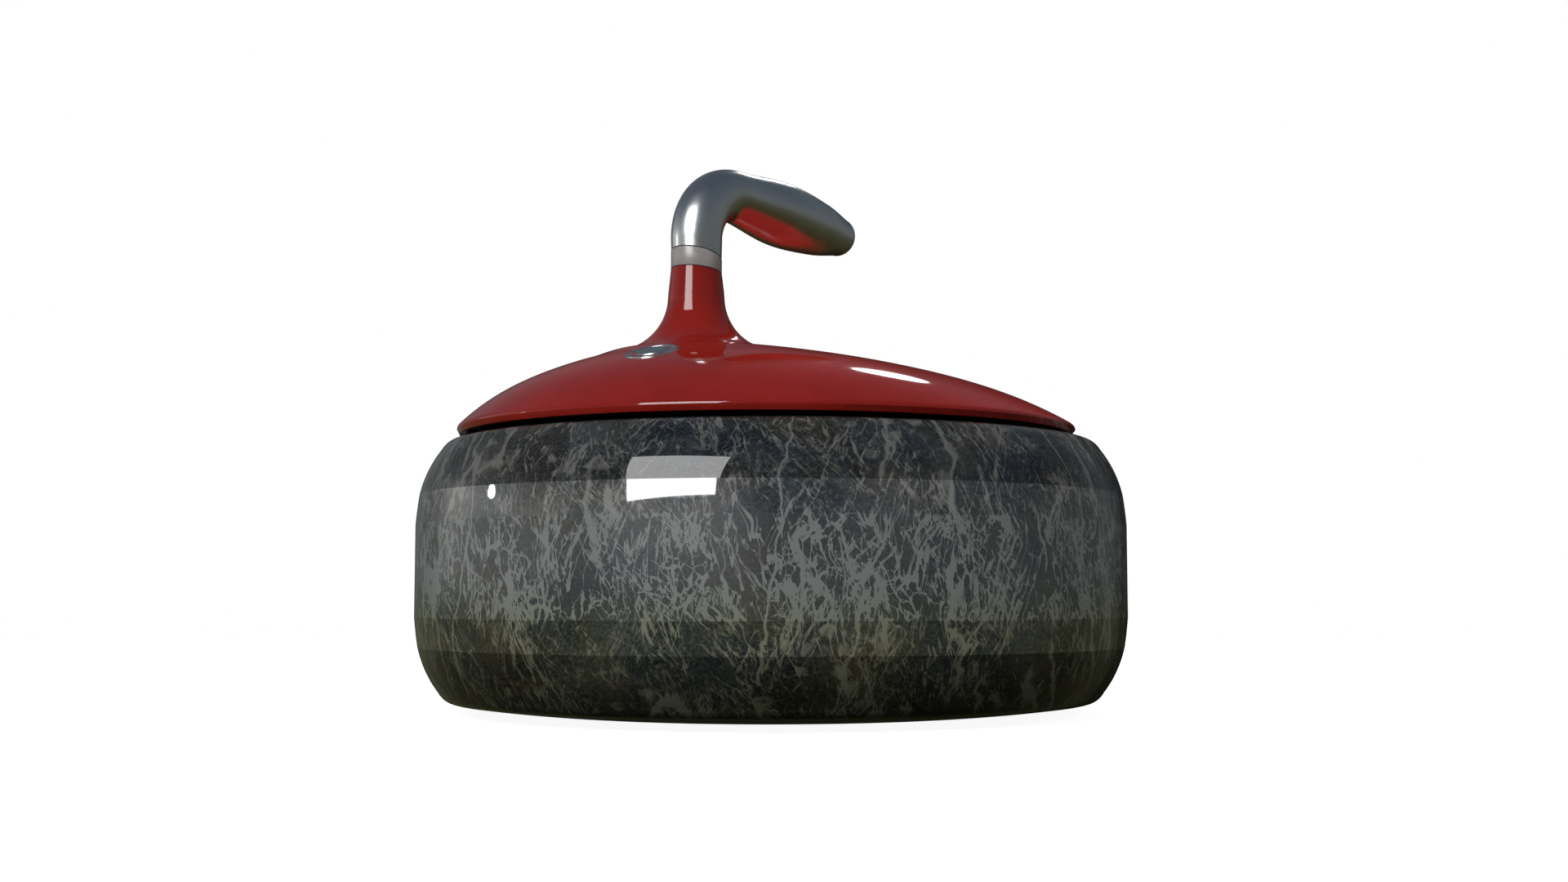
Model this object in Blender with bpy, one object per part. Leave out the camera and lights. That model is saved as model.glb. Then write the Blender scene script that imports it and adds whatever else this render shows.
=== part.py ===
"""Curling stone: a granite stone with a bolted-on handle, modelled piece by piece.

Frame: origin on the stone's axis, in the plane of the running surface. +Z is up and
+X runs along the handle, from its neck towards the tip of the grip.

The stone has a bonded running insert underneath. One bolt on the axis holds the
handle's cap down. The neck stands off the axis, and a second bolt inside it holds the
grip and the collar, so that the grip passes over the middle of the stone.
"""

import math

import bmesh
import bpy
from mathutils import Matrix, Vector

MM = 0.001
GAP = 0.3  # clearance kept between neighbouring pieces, in millimetres like all sizes below
SLIM_GAP = 0.15  # clearance between pieces that turn or slide into each other

# Stone. Its outline is the same above and below the middle plane.
STONE_HEIGHT = 114.3
STONE_RADIUS = 145.0
BAND_EDGE = (145.0, 38.8)  # radius and height of the lower edge of the striking band
BEVEL_EDGE = (143.5, 26.9)  # edge where the flat bevel under the band meets the round side
CORNER_START = (135.1, 8.8)
CORNER = (133.0, 5.2)
CORNER_END = (129.5, 4.67)
SIDE_BULGE = 1.1
UNDERSIDE_ARC_RADIUS = 434.0
RUNNING_BAND = (61.5, 66.0)  # inner and outer radius of the ring that touches the ice
CUP_FLOOR_RADIUS = 40.0
CUP_DEPTH = 5.0
CUP_BULGE = 0.8
BOLT_HOLE_RADIUS = 8.0
STONE_SEGMENTS = 52

# Running insert, bonded into a pocket under the stone.
INSERT_RADIUS = 78.0
INSERT_TOP = 22.0
INSERT_HOLE_RADIUS = 21.0
INSERT_CUP_HEIGHT = 7.0
INSERT_CUP_BULGE = 1.2
INSERT_CUP_STEP = (0.8, 0.5)  # width and height of the small step inside the running band

# Handle cap: a shallow dome whose neck stands at NECK_X.
CAP_RADIUS = 126.6
CAP_CENTRE_X = -3.2  # the rim stands this far off the stone's axis, towards the neck
CAP_EDGE_Z = 115.2
CAP_LIP = (125.2, 112.2)
CAP_SOLE = (123.0, 111.9)
CAP_APEX_Z = 146.0
CAP_SPHERE_RADIUS = 309.0
CAP_WALL = 4.0
CAP_RIM_WALL = 4.6
CAP_CAVITY_RADII = (118.0, 112.0, 100.0, 85.0, 70.0, 55.0, 42.0)
CAP_EDGE_INSETS = (0.0, 0.9, 2.4, 5.0, 8.5)  # steps in from the rim over its rounded edge
CAP_DOME_RINGS = 8
CAP_RIM_WIDTH = 13.6  # width of the outer part, where the rings lie closer together
EDGE_ROUND_START = 80.0
EDGE_ROUND_POWER = 3.0
SLIDE_SPAN = (14.0, 58.0)  # radii between which the rings' centres start to leave the neck
HALVINGS = 40  # steps that find the ring of the cap that passes through a point
NECK_X = -46.9
NECK_RADIUS = 10.2
NECK_FOOT_RADIUS = 11.3
FILLET_RADIUS = 22.0
NECK_TOP_Z = 176.1
NECK_CEILING_RADIUS = 30.0
BOLT_ROOM_RADIUS = 12.0  # room kept round the head of the neck bolt
CAP_SEGMENTS = 44
STIFFENER_RADII = (97.5, 101.0)
RIB_COUNT = 8
RIB_THICKNESS = 2.6
RIB_BOTTOM_Z = 119.0
RIB_OVERRUN = 20.0  # how far the ribs run on past the stiffening ring
BOSS_RADIUS = 15.0

# Grip: a gooseneck tube that leaves the neck upright and bends over to +X.
COLLAR_SLOPE = math.radians(7.5)  # lean of the joint between cap and collar
GRIP_SLOPE = math.radians(14.0)  # lean of the joint between collar and grip
COLLAR_HEIGHT = 6.5
BEND_START_Z = 189.4
BEND_RADIUS = 21.0
GRIP_DROP = math.radians(5.4)  # slope of the straight length, falling towards the tip
GRIP_LENGTH = 69.3
GRIP_WALL = 2.0
GRIP_SEGMENTS = 20
GRIP_RADII = ((0.0, 10.1), (0.2, 10.6), (0.38, 10.8), (0.63, 13.6), (0.86, 11.6), (1.0, 8.3))
GRIP_MOUTH_SHARE = 0.07  # share of the length over which the leaning mouth becomes square
GRIP_TIP_ANGLES = (25, 45, 62, 76)
GRIP_TIP_LENGTH = 0.765  # length of the rounded tip over its radius
GRIP_HOLLOW_END = 0.985

# Spigot and neck bolt, which hold the grip on the cap.
SPIGOT_RADIUS = 7.4
SPIGOT_SOCKET_Z = 164.0
SPIGOT_TOP_Z = 192.0
NECK_BOLT_RADIUS = 4.0
NECK_BOLT_PITCH = 1.25
NECK_BOLT_HEAD = (6.5, 8.0)  # radius and height
NECK_BOLT_TIP_Z = 190.5
NECK_THREAD_START_Z = 179.0
SOCKET_ACROSS_FLATS = 6.0
SOCKET_DEPTH = 4.5
NECK_WASHER = (8.4, 1.6)  # outer radius and thickness
SPRING_WASHER = (7.0, 1.5)
SPRING_WASHER_RISE = 0.6  # how far one end stands above the other
PIN_RADIUS = 1.2
PIN_OFFSET = 5.7
PIN_SPAN = (158.5, 170.0)

# Handle bolt on the stone's axis.
BOLT_RADIUS = 4.76
BOLT_PITCH = 1.5875
BOLT_HEAD_ACROSS_FLATS = 14.3
BOLT_HEAD_HEIGHT = 6.2
BOLT_TIP_Z = 134.0
BOLT_THREAD_START_Z = 117.0
BOLT_END_CHAMFER = 1.0  # height of the taper at both ends of a thread
BOLT_HEAD_CHAMFER = 0.8
CUSHION_WASHER = (18.5, 2.4)  # outer radius and thickness
STEEL_WASHER = (16.0, 2.5)
THREAD_DEPTH_PER_PITCH = 0.61
THREAD_SEGMENTS = 16
THREAD_ROWS = 4  # rows of points along one pitch

# Threaded insert in the cap's boss, and the pads between cap and stone.
SLEEVE_RADIUS = 8.4
SLEEVE_GROOVE_RADIUS = 7.2
SLEEVE_SPAN = (112.6, 135.0)
SLEEVE_CHAMFER = 0.8
SLEEVE_GROOVE = (1.5, 2.5)  # half widths of the groove at its floor and at its mouth
KNURL_COUNT = 14
KNURL_DEPTH = 0.45
SEAT_WASHER = (11.0, 24.0, 2.2)  # inner radius, outer radius, thickness
SEAT_RING_RADII = (96.0, 102.5)
SEAT_RING_THICKNESS = 1.8
SEAT_RING_CHAMFER = 0.5

# Badge let into the cap behind the neck.
BADGE_CENTRE = (-90.0, -17.0)
BADGE_RADIUS = 10.5
BADGE_THICKNESS = 1.5
BADGE_PROUD = 0.45
BADGE_CHAMFER = 0.3
BADGE_GROOVE = (0.84, 0.80, 0.62, 0.58)  # edges of its ring groove as shares of the radius
BADGE_GROOVE_DEPTH = 0.3
BADGE_CROWN = 0.15  # how far the disc inside the groove stands above the ring outside it

ROUND_SEGMENTS = 24
SMALL_SEGMENTS = 16
CUT_PAST = 5.0  # how far a cutter runs on beyond the face it opens


# Materials


def material(name, colour, roughness, metallic):
    made = bpy.data.materials.new(name)
    made.use_nodes = True
    shader = made.node_tree.nodes["Principled BSDF"]
    shader.inputs["Base Color"].default_value = (*colour, 1.0)
    shader.inputs["Roughness"].default_value = roughness
    shader.inputs["Metallic"].default_value = metallic
    made.diffuse_color = (*colour, 1.0)
    return made


# Mesh helpers. Rings are lists of points in millimetres, all of one length.


def skin(rings, closed):
    """Faces between neighbouring rings. A closed skin joins the last ring to the first,
    and an open one has a flat face at each end."""
    mesh = bmesh.new()
    rows = [[mesh.verts.new(Vector(point) * MM) for point in ring] for ring in rings]
    pairs = list(zip(rows, rows[1:]))
    if closed:
        pairs.append((rows[-1], rows[0]))
    else:
        mesh.faces.new(rows[0])
        mesh.faces.new(reversed(rows[-1]))
    for low, high in pairs:
        count = len(low)
        for i in range(count):
            j = (i + 1) % count
            mesh.faces.new((low[i], low[j], high[j], high[i]))
    bmesh.ops.recalc_face_normals(mesh, faces=mesh.faces)
    return mesh


def add_object(name, mesh, finish=None, smooth_angle=35.0):
    data = bpy.data.meshes.new(name)
    mesh.to_mesh(data)
    mesh.free()
    data.shade_smooth()
    data.set_sharp_from_angle(angle=math.radians(smooth_angle))
    made = bpy.data.objects.new(name, data)
    bpy.context.scene.collection.objects.link(made)
    if finish:
        data.materials.append(finish)
    return made


def add_cutter(name, mesh):
    made = add_object(name, mesh)
    made.hide_render = True
    made.display_type = "WIRE"
    return made


def boolean(target, other, operation):
    modifier = target.modifiers.new(other.name, "BOOLEAN")
    modifier.operation = operation
    modifier.solver = "EXACT"
    modifier.object = other


def circle(radius, z, segments, x=0.0, y=0.0):
    angles = [2 * math.pi * i / segments for i in range(segments)]
    return [(x + radius * math.cos(a), y + radius * math.sin(a), z) for a in angles]


def turned(outline, segments, closed=True, x=0.0, y=0.0):
    """A solid of revolution about the vertical line through (x, y), from (radius, z) points."""
    return skin([circle(radius, z, segments, x, y) for radius, z in outline], closed)


def box(low, high):
    low, high = Vector(low) * MM, Vector(high) * MM
    mesh = bmesh.new()
    bmesh.ops.create_cube(mesh, size=1.0)
    bmesh.ops.scale(mesh, vec=high - low, verts=mesh.verts)
    bmesh.ops.translate(mesh, vec=(low + high) / 2, verts=mesh.verts)
    return mesh


def prism_ring(across_flats, z, sides=6, x=0.0):
    return circle(across_flats / 2 / math.cos(math.pi / sides), z, sides, x)


def corner_curve(start, control, end, steps):
    """Points of a quadratic curve from start to end, drawn towards control."""
    points = []
    for i in range(steps + 1):
        t = i / steps
        weights = ((1 - t) ** 2, 2 * t * (1 - t), t**2)
        pair = zip(*[(w * p[0], w * p[1]) for w, p in zip(weights, (start, control, end))])
        points.append(tuple(sum(values) for values in pair))
    return points


def bulged(start, end, bulge, steps):
    """Points along a shallow arc from start to end that stands off its chord by bulge,
    to the right of the way it runs."""
    middle = ((start[0] + end[0]) / 2, (start[1] + end[1]) / 2)
    along = (end[0] - start[0], end[1] - start[1])
    length = math.hypot(*along)
    push = 2 * bulge / length
    control = (middle[0] + push * along[1], middle[1] - push * along[0])
    return corner_curve(start, control, end, steps)


# Stone


def underside_z(radius):
    """Height of the stone's underside outside the running band, a shallow arc."""
    reach = radius - RUNNING_BAND[1]
    return UNDERSIDE_ARC_RADIUS - math.sqrt(UNDERSIDE_ARC_RADIUS**2 - reach**2)


def lower_side():
    """The stone's outline from just outside the running band up to its middle plane."""
    reach = CORNER_END[0] - INSERT_RADIUS - GAP
    steps = 3
    radii = [INSERT_RADIUS + GAP + reach * i / steps for i in range(steps)]
    outline = [(radius, underside_z(radius)) for radius in radii]
    outline += corner_curve(CORNER_END, CORNER, CORNER_START, 3)
    outline += bulged(CORNER_START, BEVEL_EDGE, SIDE_BULGE, 3)[1:]
    outline += [BAND_EDGE, (STONE_RADIUS, STONE_HEIGHT / 2)]
    return outline


def upper_side():
    """The mirror image of the lower side, carried inwards to the upper running band."""
    outline = [(radius, STONE_HEIGHT - z) for radius, z in reversed(lower_side()[:-1])]
    outline.append((RUNNING_BAND[1], STONE_HEIGHT))
    return outline


def make_stone_body(finish):
    floor_z = STONE_HEIGHT - CUP_DEPTH
    outline = [(BOLT_HOLE_RADIUS, INSERT_TOP), (INSERT_RADIUS + GAP, INSERT_TOP)]
    outline += lower_side() + upper_side()
    cup_edge, cup_floor = (RUNNING_BAND[0], STONE_HEIGHT), (CUP_FLOOR_RADIUS, floor_z)
    outline += bulged(cup_edge, cup_floor, CUP_BULGE, 2)
    outline.append((BOLT_HOLE_RADIUS, floor_z))
    add_object("stone_body", turned(outline, STONE_SEGMENTS), finish, 3.0)


def make_running_insert(finish):
    inner, outer = RUNNING_BAND
    outline = [(INSERT_HOLE_RADIUS, INSERT_TOP - GAP), (INSERT_RADIUS, INSERT_TOP - GAP)]
    outline += [(INSERT_RADIUS, underside_z(INSERT_RADIUS)), (outer, 0.0), (inner, 0.0)]
    cup_rim = (inner - INSERT_CUP_STEP[0], INSERT_CUP_STEP[1])
    outline += bulged(cup_rim, (INSERT_HOLE_RADIUS, INSERT_CUP_HEIGHT), -INSERT_CUP_BULGE, 4)
    add_object("running_insert", turned(outline, STONE_SEGMENTS), finish, 12.0)


# Threads and bolts


def thread_rings(radius, pitch, low_z, high_z, x=0.0):
    """Rings of a threaded length: the radius rises and falls along a helix, and the
    thread runs out over half a pitch at both ends."""
    depth = THREAD_DEPTH_PER_PITCH * pitch
    count = round((high_z - low_z) / pitch * THREAD_ROWS)
    rings = []
    for row in range(count + 1):
        z = low_z + (high_z - low_z) * row / count
        fade = min(1.0, row / 2, (count - row) / 2)
        ring = []
        for i in range(THREAD_SEGMENTS):
            turn = i / THREAD_SEGMENTS
            phase = (z / pitch - turn) % 1.0
            crest = 1.0 - abs(2.0 * phase - 1.0)
            reach = radius - depth * (1.0 - crest * fade)
            angle = 2 * math.pi * turn
            ring.append((x + reach * math.cos(angle), reach * math.sin(angle), z))
        rings.append(ring)
    return rings


def washer(name, inner, size, low_z, finish, x=0.0):
    """A flat ring. Its size is its outer radius and its thickness."""
    outer, thickness = size
    top_z = low_z + thickness
    outline = [(inner, low_z), (outer, low_z), (outer, top_z), (inner, top_z)]
    add_object(name, turned(outline, ROUND_SEGMENTS, x=x), finish)


def make_handle_bolt(steel, cushion):
    """The bolt on the axis and its two washers, seated in the pocket under the stone."""
    cushion_z = INSERT_TOP - GAP - CUSHION_WASHER[1]
    steel_z = cushion_z - GAP - STEEL_WASHER[1]
    head_top = steel_z - GAP
    head_bottom = head_top - BOLT_HEAD_HEIGHT
    hole = BOLT_RADIUS + GAP
    washer("bolt_cushion_washer", hole, CUSHION_WASHER, cushion_z, cushion)
    washer("bolt_washer", hole, STEEL_WASHER, steel_z, steel)

    taper = BOLT_END_CHAMFER
    shank_ends = (head_top - taper, BOLT_THREAD_START_Z - taper)
    shank = [circle(BOLT_RADIUS, z, THREAD_SEGMENTS) for z in shank_ends]
    thread = thread_rings(BOLT_RADIUS, BOLT_PITCH, BOLT_THREAD_START_Z, BOLT_TIP_Z - taper)
    tip = [circle(BOLT_RADIUS - BOLT_PITCH, BOLT_TIP_Z, THREAD_SEGMENTS)]
    bolt = add_object("handle_bolt", skin(shank + thread + tip, closed=False), steel)
    chamfer = BOLT_HEAD_CHAMFER
    head = [prism_ring(BOLT_HEAD_ACROSS_FLATS - 2 * chamfer, head_bottom)]
    head += [prism_ring(BOLT_HEAD_ACROSS_FLATS, z) for z in (head_bottom + chamfer, head_top)]
    boolean(bolt, add_cutter("handle_bolt_head", skin(head, closed=False)), "UNION")


def make_neck_bolt(steel):
    """The socket-head bolt that draws the grip down, with its two washers, under the cap."""
    washer_z = neck_ceiling_z() - GAP - NECK_WASHER[1]
    spring_z = washer_z - GAP - SPRING_WASHER[1] - SPRING_WASHER_RISE
    head_top = spring_z - GAP
    head_radius, head_height = NECK_BOLT_HEAD
    head_bottom = head_top - head_height
    washer("neck_bolt_washer", NECK_BOLT_RADIUS + GAP, NECK_WASHER, washer_z, steel, NECK_X)
    make_spring_washer(spring_z, steel)

    radius, taper, chamfer = NECK_BOLT_RADIUS, BOLT_END_CHAMFER, BOLT_HEAD_CHAMFER
    outline = [(head_radius - chamfer, head_bottom), (head_radius, head_bottom + chamfer)]
    outline += [(head_radius, head_top), (radius, head_top), (radius, NECK_THREAD_START_Z - taper)]
    body = [circle(reach, z, THREAD_SEGMENTS, NECK_X) for reach, z in outline]
    thread_span = (NECK_THREAD_START_Z, NECK_BOLT_TIP_Z - taper)
    thread = thread_rings(radius, NECK_BOLT_PITCH, *thread_span, NECK_X)
    tip = [circle(radius - NECK_BOLT_PITCH, NECK_BOLT_TIP_Z, THREAD_SEGMENTS, NECK_X)]
    bolt = add_object("neck_bolt", skin(body + thread + tip, closed=False), steel)
    socket_ends = (head_bottom - CUT_PAST, head_bottom + SOCKET_DEPTH)
    socket = [prism_ring(SOCKET_ACROSS_FLATS, z, x=NECK_X) for z in socket_ends]
    boolean(bolt, add_cutter("neck_bolt_socket", skin(socket, closed=False)), "DIFFERENCE")


def make_spring_washer(low_z, steel):
    """A split ring of square section whose ends stand one above the other."""
    inner = NECK_BOLT_RADIUS + GAP
    outer, thickness = SPRING_WASHER
    split = math.radians(16.0)
    sections = []
    for i in range(ROUND_SEGMENTS + 1):
        share = i / ROUND_SEGMENTS
        angle = split / 2 + (2 * math.pi - split) * share
        z = low_z + SPRING_WASHER_RISE * share
        corners = ((inner, z), (outer, z), (outer, z + thickness), (inner, z + thickness))
        direction = (math.cos(angle), math.sin(angle))
        sections.append([(NECK_X + r * direction[0], r * direction[1], h) for r, h in corners])
    add_object("neck_spring_washer", skin(sections, closed=False), steel)


# Cap


def dome_z(radius):
    """Height of the dome on the ring of this radius, from the sphere and the rounded edge."""
    sphere = CAP_APEX_Z - CAP_SPHERE_RADIUS + math.sqrt(CAP_SPHERE_RADIUS**2 - radius**2)
    if radius <= EDGE_ROUND_START:
        return sphere
    rim_depth = CAP_SPHERE_RADIUS - math.sqrt(CAP_SPHERE_RADIUS**2 - CAP_RADIUS**2)
    edge_drop = CAP_APEX_Z - rim_depth - CAP_EDGE_Z
    share = (radius - EDGE_ROUND_START) / (CAP_RADIUS - EDGE_ROUND_START)
    return sphere - edge_drop * share**EDGE_ROUND_POWER


def cap_centre_x(radius):
    """Where a ring of the cap has its centre: it slides from the neck to the rim's own."""
    share = (radius - NECK_FOOT_RADIUS) / (CAP_RADIUS - NECK_FOOT_RADIUS)
    start, full = SLIDE_SPAN
    t = min(1.0, max(0.0, (radius - start) / (full - start)))
    return NECK_X + (CAP_CENTRE_X - NECK_X) * share * t * t * (3 - 2 * t)


def cap_ring(radius, z):
    return circle(radius, z, CAP_SEGMENTS, cap_centre_x(radius))


def lean(ring, slope):
    """The ring tilted about the neck's axis, so that it falls towards +X by slope."""
    return [(x, y, z - (x - NECK_X) * math.tan(slope)) for x, y, z in ring]


def cap_outer_rings():
    fillet_edge = NECK_FOOT_RADIUS + FILLET_RADIUS
    fillet_z = dome_z(fillet_edge) + FILLET_RADIUS
    rings = [cap_ring(*CAP_SOLE), cap_ring(*CAP_LIP)]
    rounded = [CAP_RADIUS - inset for inset in CAP_EDGE_INSETS]
    dome_edge = CAP_RADIUS - CAP_RIM_WIDTH
    spacing = (dome_edge - fillet_edge) / CAP_DOME_RINGS
    dome = [dome_edge - spacing * i for i in range(CAP_DOME_RINGS)]
    for radius in rounded + dome:
        rings.append(cap_ring(radius, dome_z(radius)))
    for degrees in range(86, 0, -14):
        angle = math.radians(degrees)
        radius = fillet_edge - FILLET_RADIUS * math.cos(angle)
        rings.append(cap_ring(radius, fillet_z - FILLET_RADIUS * math.sin(angle)))
    neck = circle(NECK_RADIUS, NECK_TOP_Z, CAP_SEGMENTS, NECK_X)
    rings.append(lean(neck, COLLAR_SLOPE))
    return rings


def neck_ceiling_z():
    return dome_z(NECK_CEILING_RADIUS) - CAP_WALL


def cap_cavity_rings():
    mouth = CAP_RADIUS - CAP_RIM_WALL
    rings = [cap_ring(mouth, CAP_SOLE[1] - CUT_PAST), cap_ring(mouth, CAP_EDGE_Z)]
    for radius in (*CAP_CAVITY_RADII, NECK_CEILING_RADIUS):
        rings.append(cap_ring(radius, dome_z(radius) - CAP_WALL))
    return rings


def make_handle_cap(finish):
    """The cap is its filled outer form less a cavity. The boss, the ribs and the stiffening
    ring are what the cavity leaves standing."""
    cap = add_object("handle_cap", skin(cap_outer_rings(), closed=False), finish, 40.0)
    cavity = add_cutter("cap_cavity", skin(cap_cavity_rings(), closed=False))
    top_z = CAP_APEX_Z + CUT_PAST
    boss_z = STONE_HEIGHT - CUP_DEPTH + 2 * GAP + SEAT_WASHER[2]
    boss = turned([(BOSS_RADIUS, boss_z), (BOSS_RADIUS, top_z)], ROUND_SEGMENTS, closed=False)
    low, high = STIFFENER_RADII
    foot_z = seat_ring_z()[1] + GAP
    ring = turned([(low, foot_z), (high, foot_z), (high, top_z), (low, top_z)], CAP_SEGMENTS)
    kept = [add_cutter("cap_boss", boss), add_cutter("cap_stiffener", ring)]
    half = RIB_THICKNESS / 2
    for i in range(RIB_COUNT):
        rib = box((BOSS_RADIUS - half, -half, RIB_BOTTOM_Z), (high + RIB_OVERRUN, half, top_z))
        turn = Matrix.Rotation(2 * math.pi * (i + 0.5) / RIB_COUNT, 4, "Z")
        bmesh.ops.transform(rib, matrix=turn, verts=rib.verts)
        kept.append(add_cutter(f"cap_rib_{i + 1}", rib))
    for piece in kept:
        boolean(cavity, piece, "DIFFERENCE")
    room = [(BOLT_ROOM_RADIUS, z) for z in (RIB_BOTTOM_Z - CUT_PAST, neck_ceiling_z())]
    clear_of_bolt = turned(room, ROUND_SEGMENTS, False, NECK_X)
    boolean(cavity, add_cutter("cap_bolt_head_room", clear_of_bolt), "UNION")
    boolean(cap, cavity, "DIFFERENCE")

    bore = SLEEVE_RADIUS + SLIM_GAP
    bore_ends = [(bore, boss_z - CUT_PAST), (bore, SLEEVE_SPAN[1] + GAP)]
    sleeve = turned(bore_ends, KNURL_COUNT * 2, False)
    boolean(cap, add_cutter("cap_sleeve_bore", sleeve), "DIFFERENCE")
    shank = NECK_BOLT_RADIUS + GAP
    socket = SPIGOT_RADIUS + SLIM_GAP
    drilled = [(shank, neck_ceiling_z() - CUT_PAST), (shank, SPIGOT_SOCKET_Z)]
    drilled += [(socket, SPIGOT_SOCKET_Z), (socket, NECK_TOP_Z + CUT_PAST)]
    bolt_way = turned(drilled, ROUND_SEGMENTS, False, NECK_X)
    boolean(cap, add_cutter("cap_neck_bore", bolt_way), "DIFFERENCE")
    hole = pin_hole(PIN_SPAN[0] - GAP, SPIGOT_SOCKET_Z + CUT_PAST)
    boolean(cap, add_cutter("cap_pin_hole", hole), "DIFFERENCE")
    pocket_radius = BADGE_RADIUS + SLIM_GAP
    pocket = badge_mesh([(pocket_radius, 0.0), (pocket_radius, CUT_PAST)])
    boolean(cap, add_cutter("cap_badge_pocket", pocket), "DIFFERENCE")


def make_boss_sleeve(brass):
    """Knurled brass sleeve moulded into the boss. Its bore takes the handle bolt."""
    low, high = SLEEVE_SPAN
    middle = (low + high) / 2
    bore, full, chamfer = BOLT_RADIUS + SLIM_GAP, SLEEVE_RADIUS, SLEEVE_CHAMFER
    floor, mouth = SLEEVE_GROOVE
    levels = [
        (bore, low, False),
        (full - chamfer, low, False),
        (full, low + chamfer, True),
        (full, middle - mouth, True),
        (SLEEVE_GROOVE_RADIUS, middle - floor, False),
        (SLEEVE_GROOVE_RADIUS, middle + floor, False),
        (full, middle + mouth, True),
        (full, high - chamfer, True),
        (full - chamfer, high, False),
        (bore, high, False),
    ]
    rings = []
    for radius, z, knurled in levels:
        points = []
        for i in range(KNURL_COUNT * 2):
            angle = math.pi * i / KNURL_COUNT
            reach = radius - (KNURL_DEPTH if knurled and i % 2 else 0.0)
            points.append((reach * math.cos(angle), reach * math.sin(angle), z))
        rings.append(points)
    add_object("boss_insert", skin(rings, closed=True), brass)


def make_seat_washer(rubber):
    low_z = STONE_HEIGHT - CUP_DEPTH + GAP
    washer("seat_washer", SEAT_WASHER[0], SEAT_WASHER[1:], low_z, rubber)


def seat_ring_z():
    """Lowest and highest height of the seat ring, just clear of the stone's top."""
    low_z = STONE_HEIGHT - underside_z(SEAT_RING_RADII[0]) + GAP
    return low_z, low_z + SEAT_RING_THICKNESS


def make_seat_ring(rubber):
    inner, outer = SEAT_RING_RADII
    low_z, high_z = seat_ring_z()
    fall = underside_z(outer) - underside_z(inner)
    chamfer = SEAT_RING_CHAMFER
    outline = [(inner, low_z), (outer, low_z - fall)]
    outline += [(outer, high_z - chamfer), (outer - chamfer, high_z)]
    outline += [(inner + chamfer, high_z), (inner, high_z - chamfer)]
    add_object("seat_ring", turned(outline, STONE_SEGMENTS), rubber)


# Badge


def cap_surface_z(x, y):
    """Height of the cap above the point (x, y), on the dome or the fillet."""
    inside, outside = NECK_FOOT_RADIUS, CAP_RADIUS
    for _ in range(HALVINGS):
        radius = (inside + outside) / 2
        if math.hypot(x - cap_centre_x(radius), y) > radius:
            inside = radius
        else:
            outside = radius
    fillet_edge = NECK_FOOT_RADIUS + FILLET_RADIUS
    if radius >= fillet_edge:
        return dome_z(radius)
    rise = FILLET_RADIUS - math.sqrt(FILLET_RADIUS**2 - (fillet_edge - radius) ** 2)
    return dome_z(fillet_edge) + rise


def badge_mesh(outline):
    """A turned solid that lies over the badge's stretch of the cap's surface. Its outline's
    heights count from the floor of the badge's pocket."""
    mesh = turned(outline, ROUND_SEGMENTS, closed=False)
    x, y = BADGE_CENTRE
    reach = BADGE_RADIUS
    behind, ahead = cap_surface_z(x - reach, y), cap_surface_z(x + reach, y)
    right, left = cap_surface_z(x, y - reach), cap_surface_z(x, y + reach)
    normal = Vector((behind - ahead, right - left, 2 * reach)).normalized()
    surface = Vector((x, y, (behind + ahead + right + left) / 4))
    floor = surface + normal * (BADGE_PROUD - BADGE_THICKNESS - GAP)
    turn = Vector((0.0, 0.0, 1.0)).rotation_difference(normal)
    place = Matrix.Translation(floor * MM) @ turn.to_matrix().to_4x4()
    bmesh.ops.transform(mesh, matrix=place, verts=mesh.verts)
    return mesh


def make_badge(silver):
    radius, chamfer = BADGE_RADIUS, BADGE_CHAMFER
    low, high = GAP, GAP + BADGE_THICKNESS
    outer_edge, outer_floor, inner_floor, inner_edge = [radius * s for s in BADGE_GROOVE]
    outline = [(radius - chamfer, low), (radius, low + chamfer)]
    outline += [(radius, high - chamfer), (radius - chamfer, high), (outer_edge, high)]
    outline += [(r, high - BADGE_GROOVE_DEPTH) for r in (outer_floor, inner_floor)]
    outline.append((inner_edge, high + BADGE_CROWN))
    add_object("id_badge", badge_mesh(outline), silver)


# Collar, grip and spigot


def make_collar(finish):
    bore = SPIGOT_RADIUS + SLIM_GAP
    low_z = NECK_TOP_Z + GAP
    high_z = low_z + COLLAR_HEIGHT
    rings = []
    for radius, z, slope in (
        (bore, low_z, COLLAR_SLOPE),
        (NECK_RADIUS, low_z, COLLAR_SLOPE),
        (NECK_RADIUS, high_z, GRIP_SLOPE),
        (bore, high_z, GRIP_SLOPE),
    ):
        rings.append(lean(circle(radius, z, CAP_SEGMENTS, NECK_X), slope))
    add_object("neck_collar", skin(rings, closed=True), finish)


def grip_lengths():
    """Lengths of the grip's middle line: upright below the bend, round it and beyond it."""
    mouth_z = NECK_TOP_Z + 2 * GAP + COLLAR_HEIGHT
    turn = math.pi / 2 + GRIP_DROP
    return BEND_START_Z - mouth_z, BEND_RADIUS * turn, GRIP_LENGTH


def grip_path(share):
    """Point on the grip's middle line and its direction's angle from upright, for a share
    of the line's length from the mouth to the end."""
    rise, bend, _ = grip_lengths()
    distance = share * sum(grip_lengths())
    if distance <= rise:
        return (NECK_X, BEND_START_Z - rise + distance), 0.0
    angle = min(bend, distance - rise) / BEND_RADIUS
    x = NECK_X + BEND_RADIUS * (1 - math.cos(angle))
    z = BEND_START_Z + BEND_RADIUS * math.sin(angle)
    beyond = max(0.0, distance - rise - bend)
    return (x + beyond * math.sin(angle), z + beyond * math.cos(angle)), angle


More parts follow.
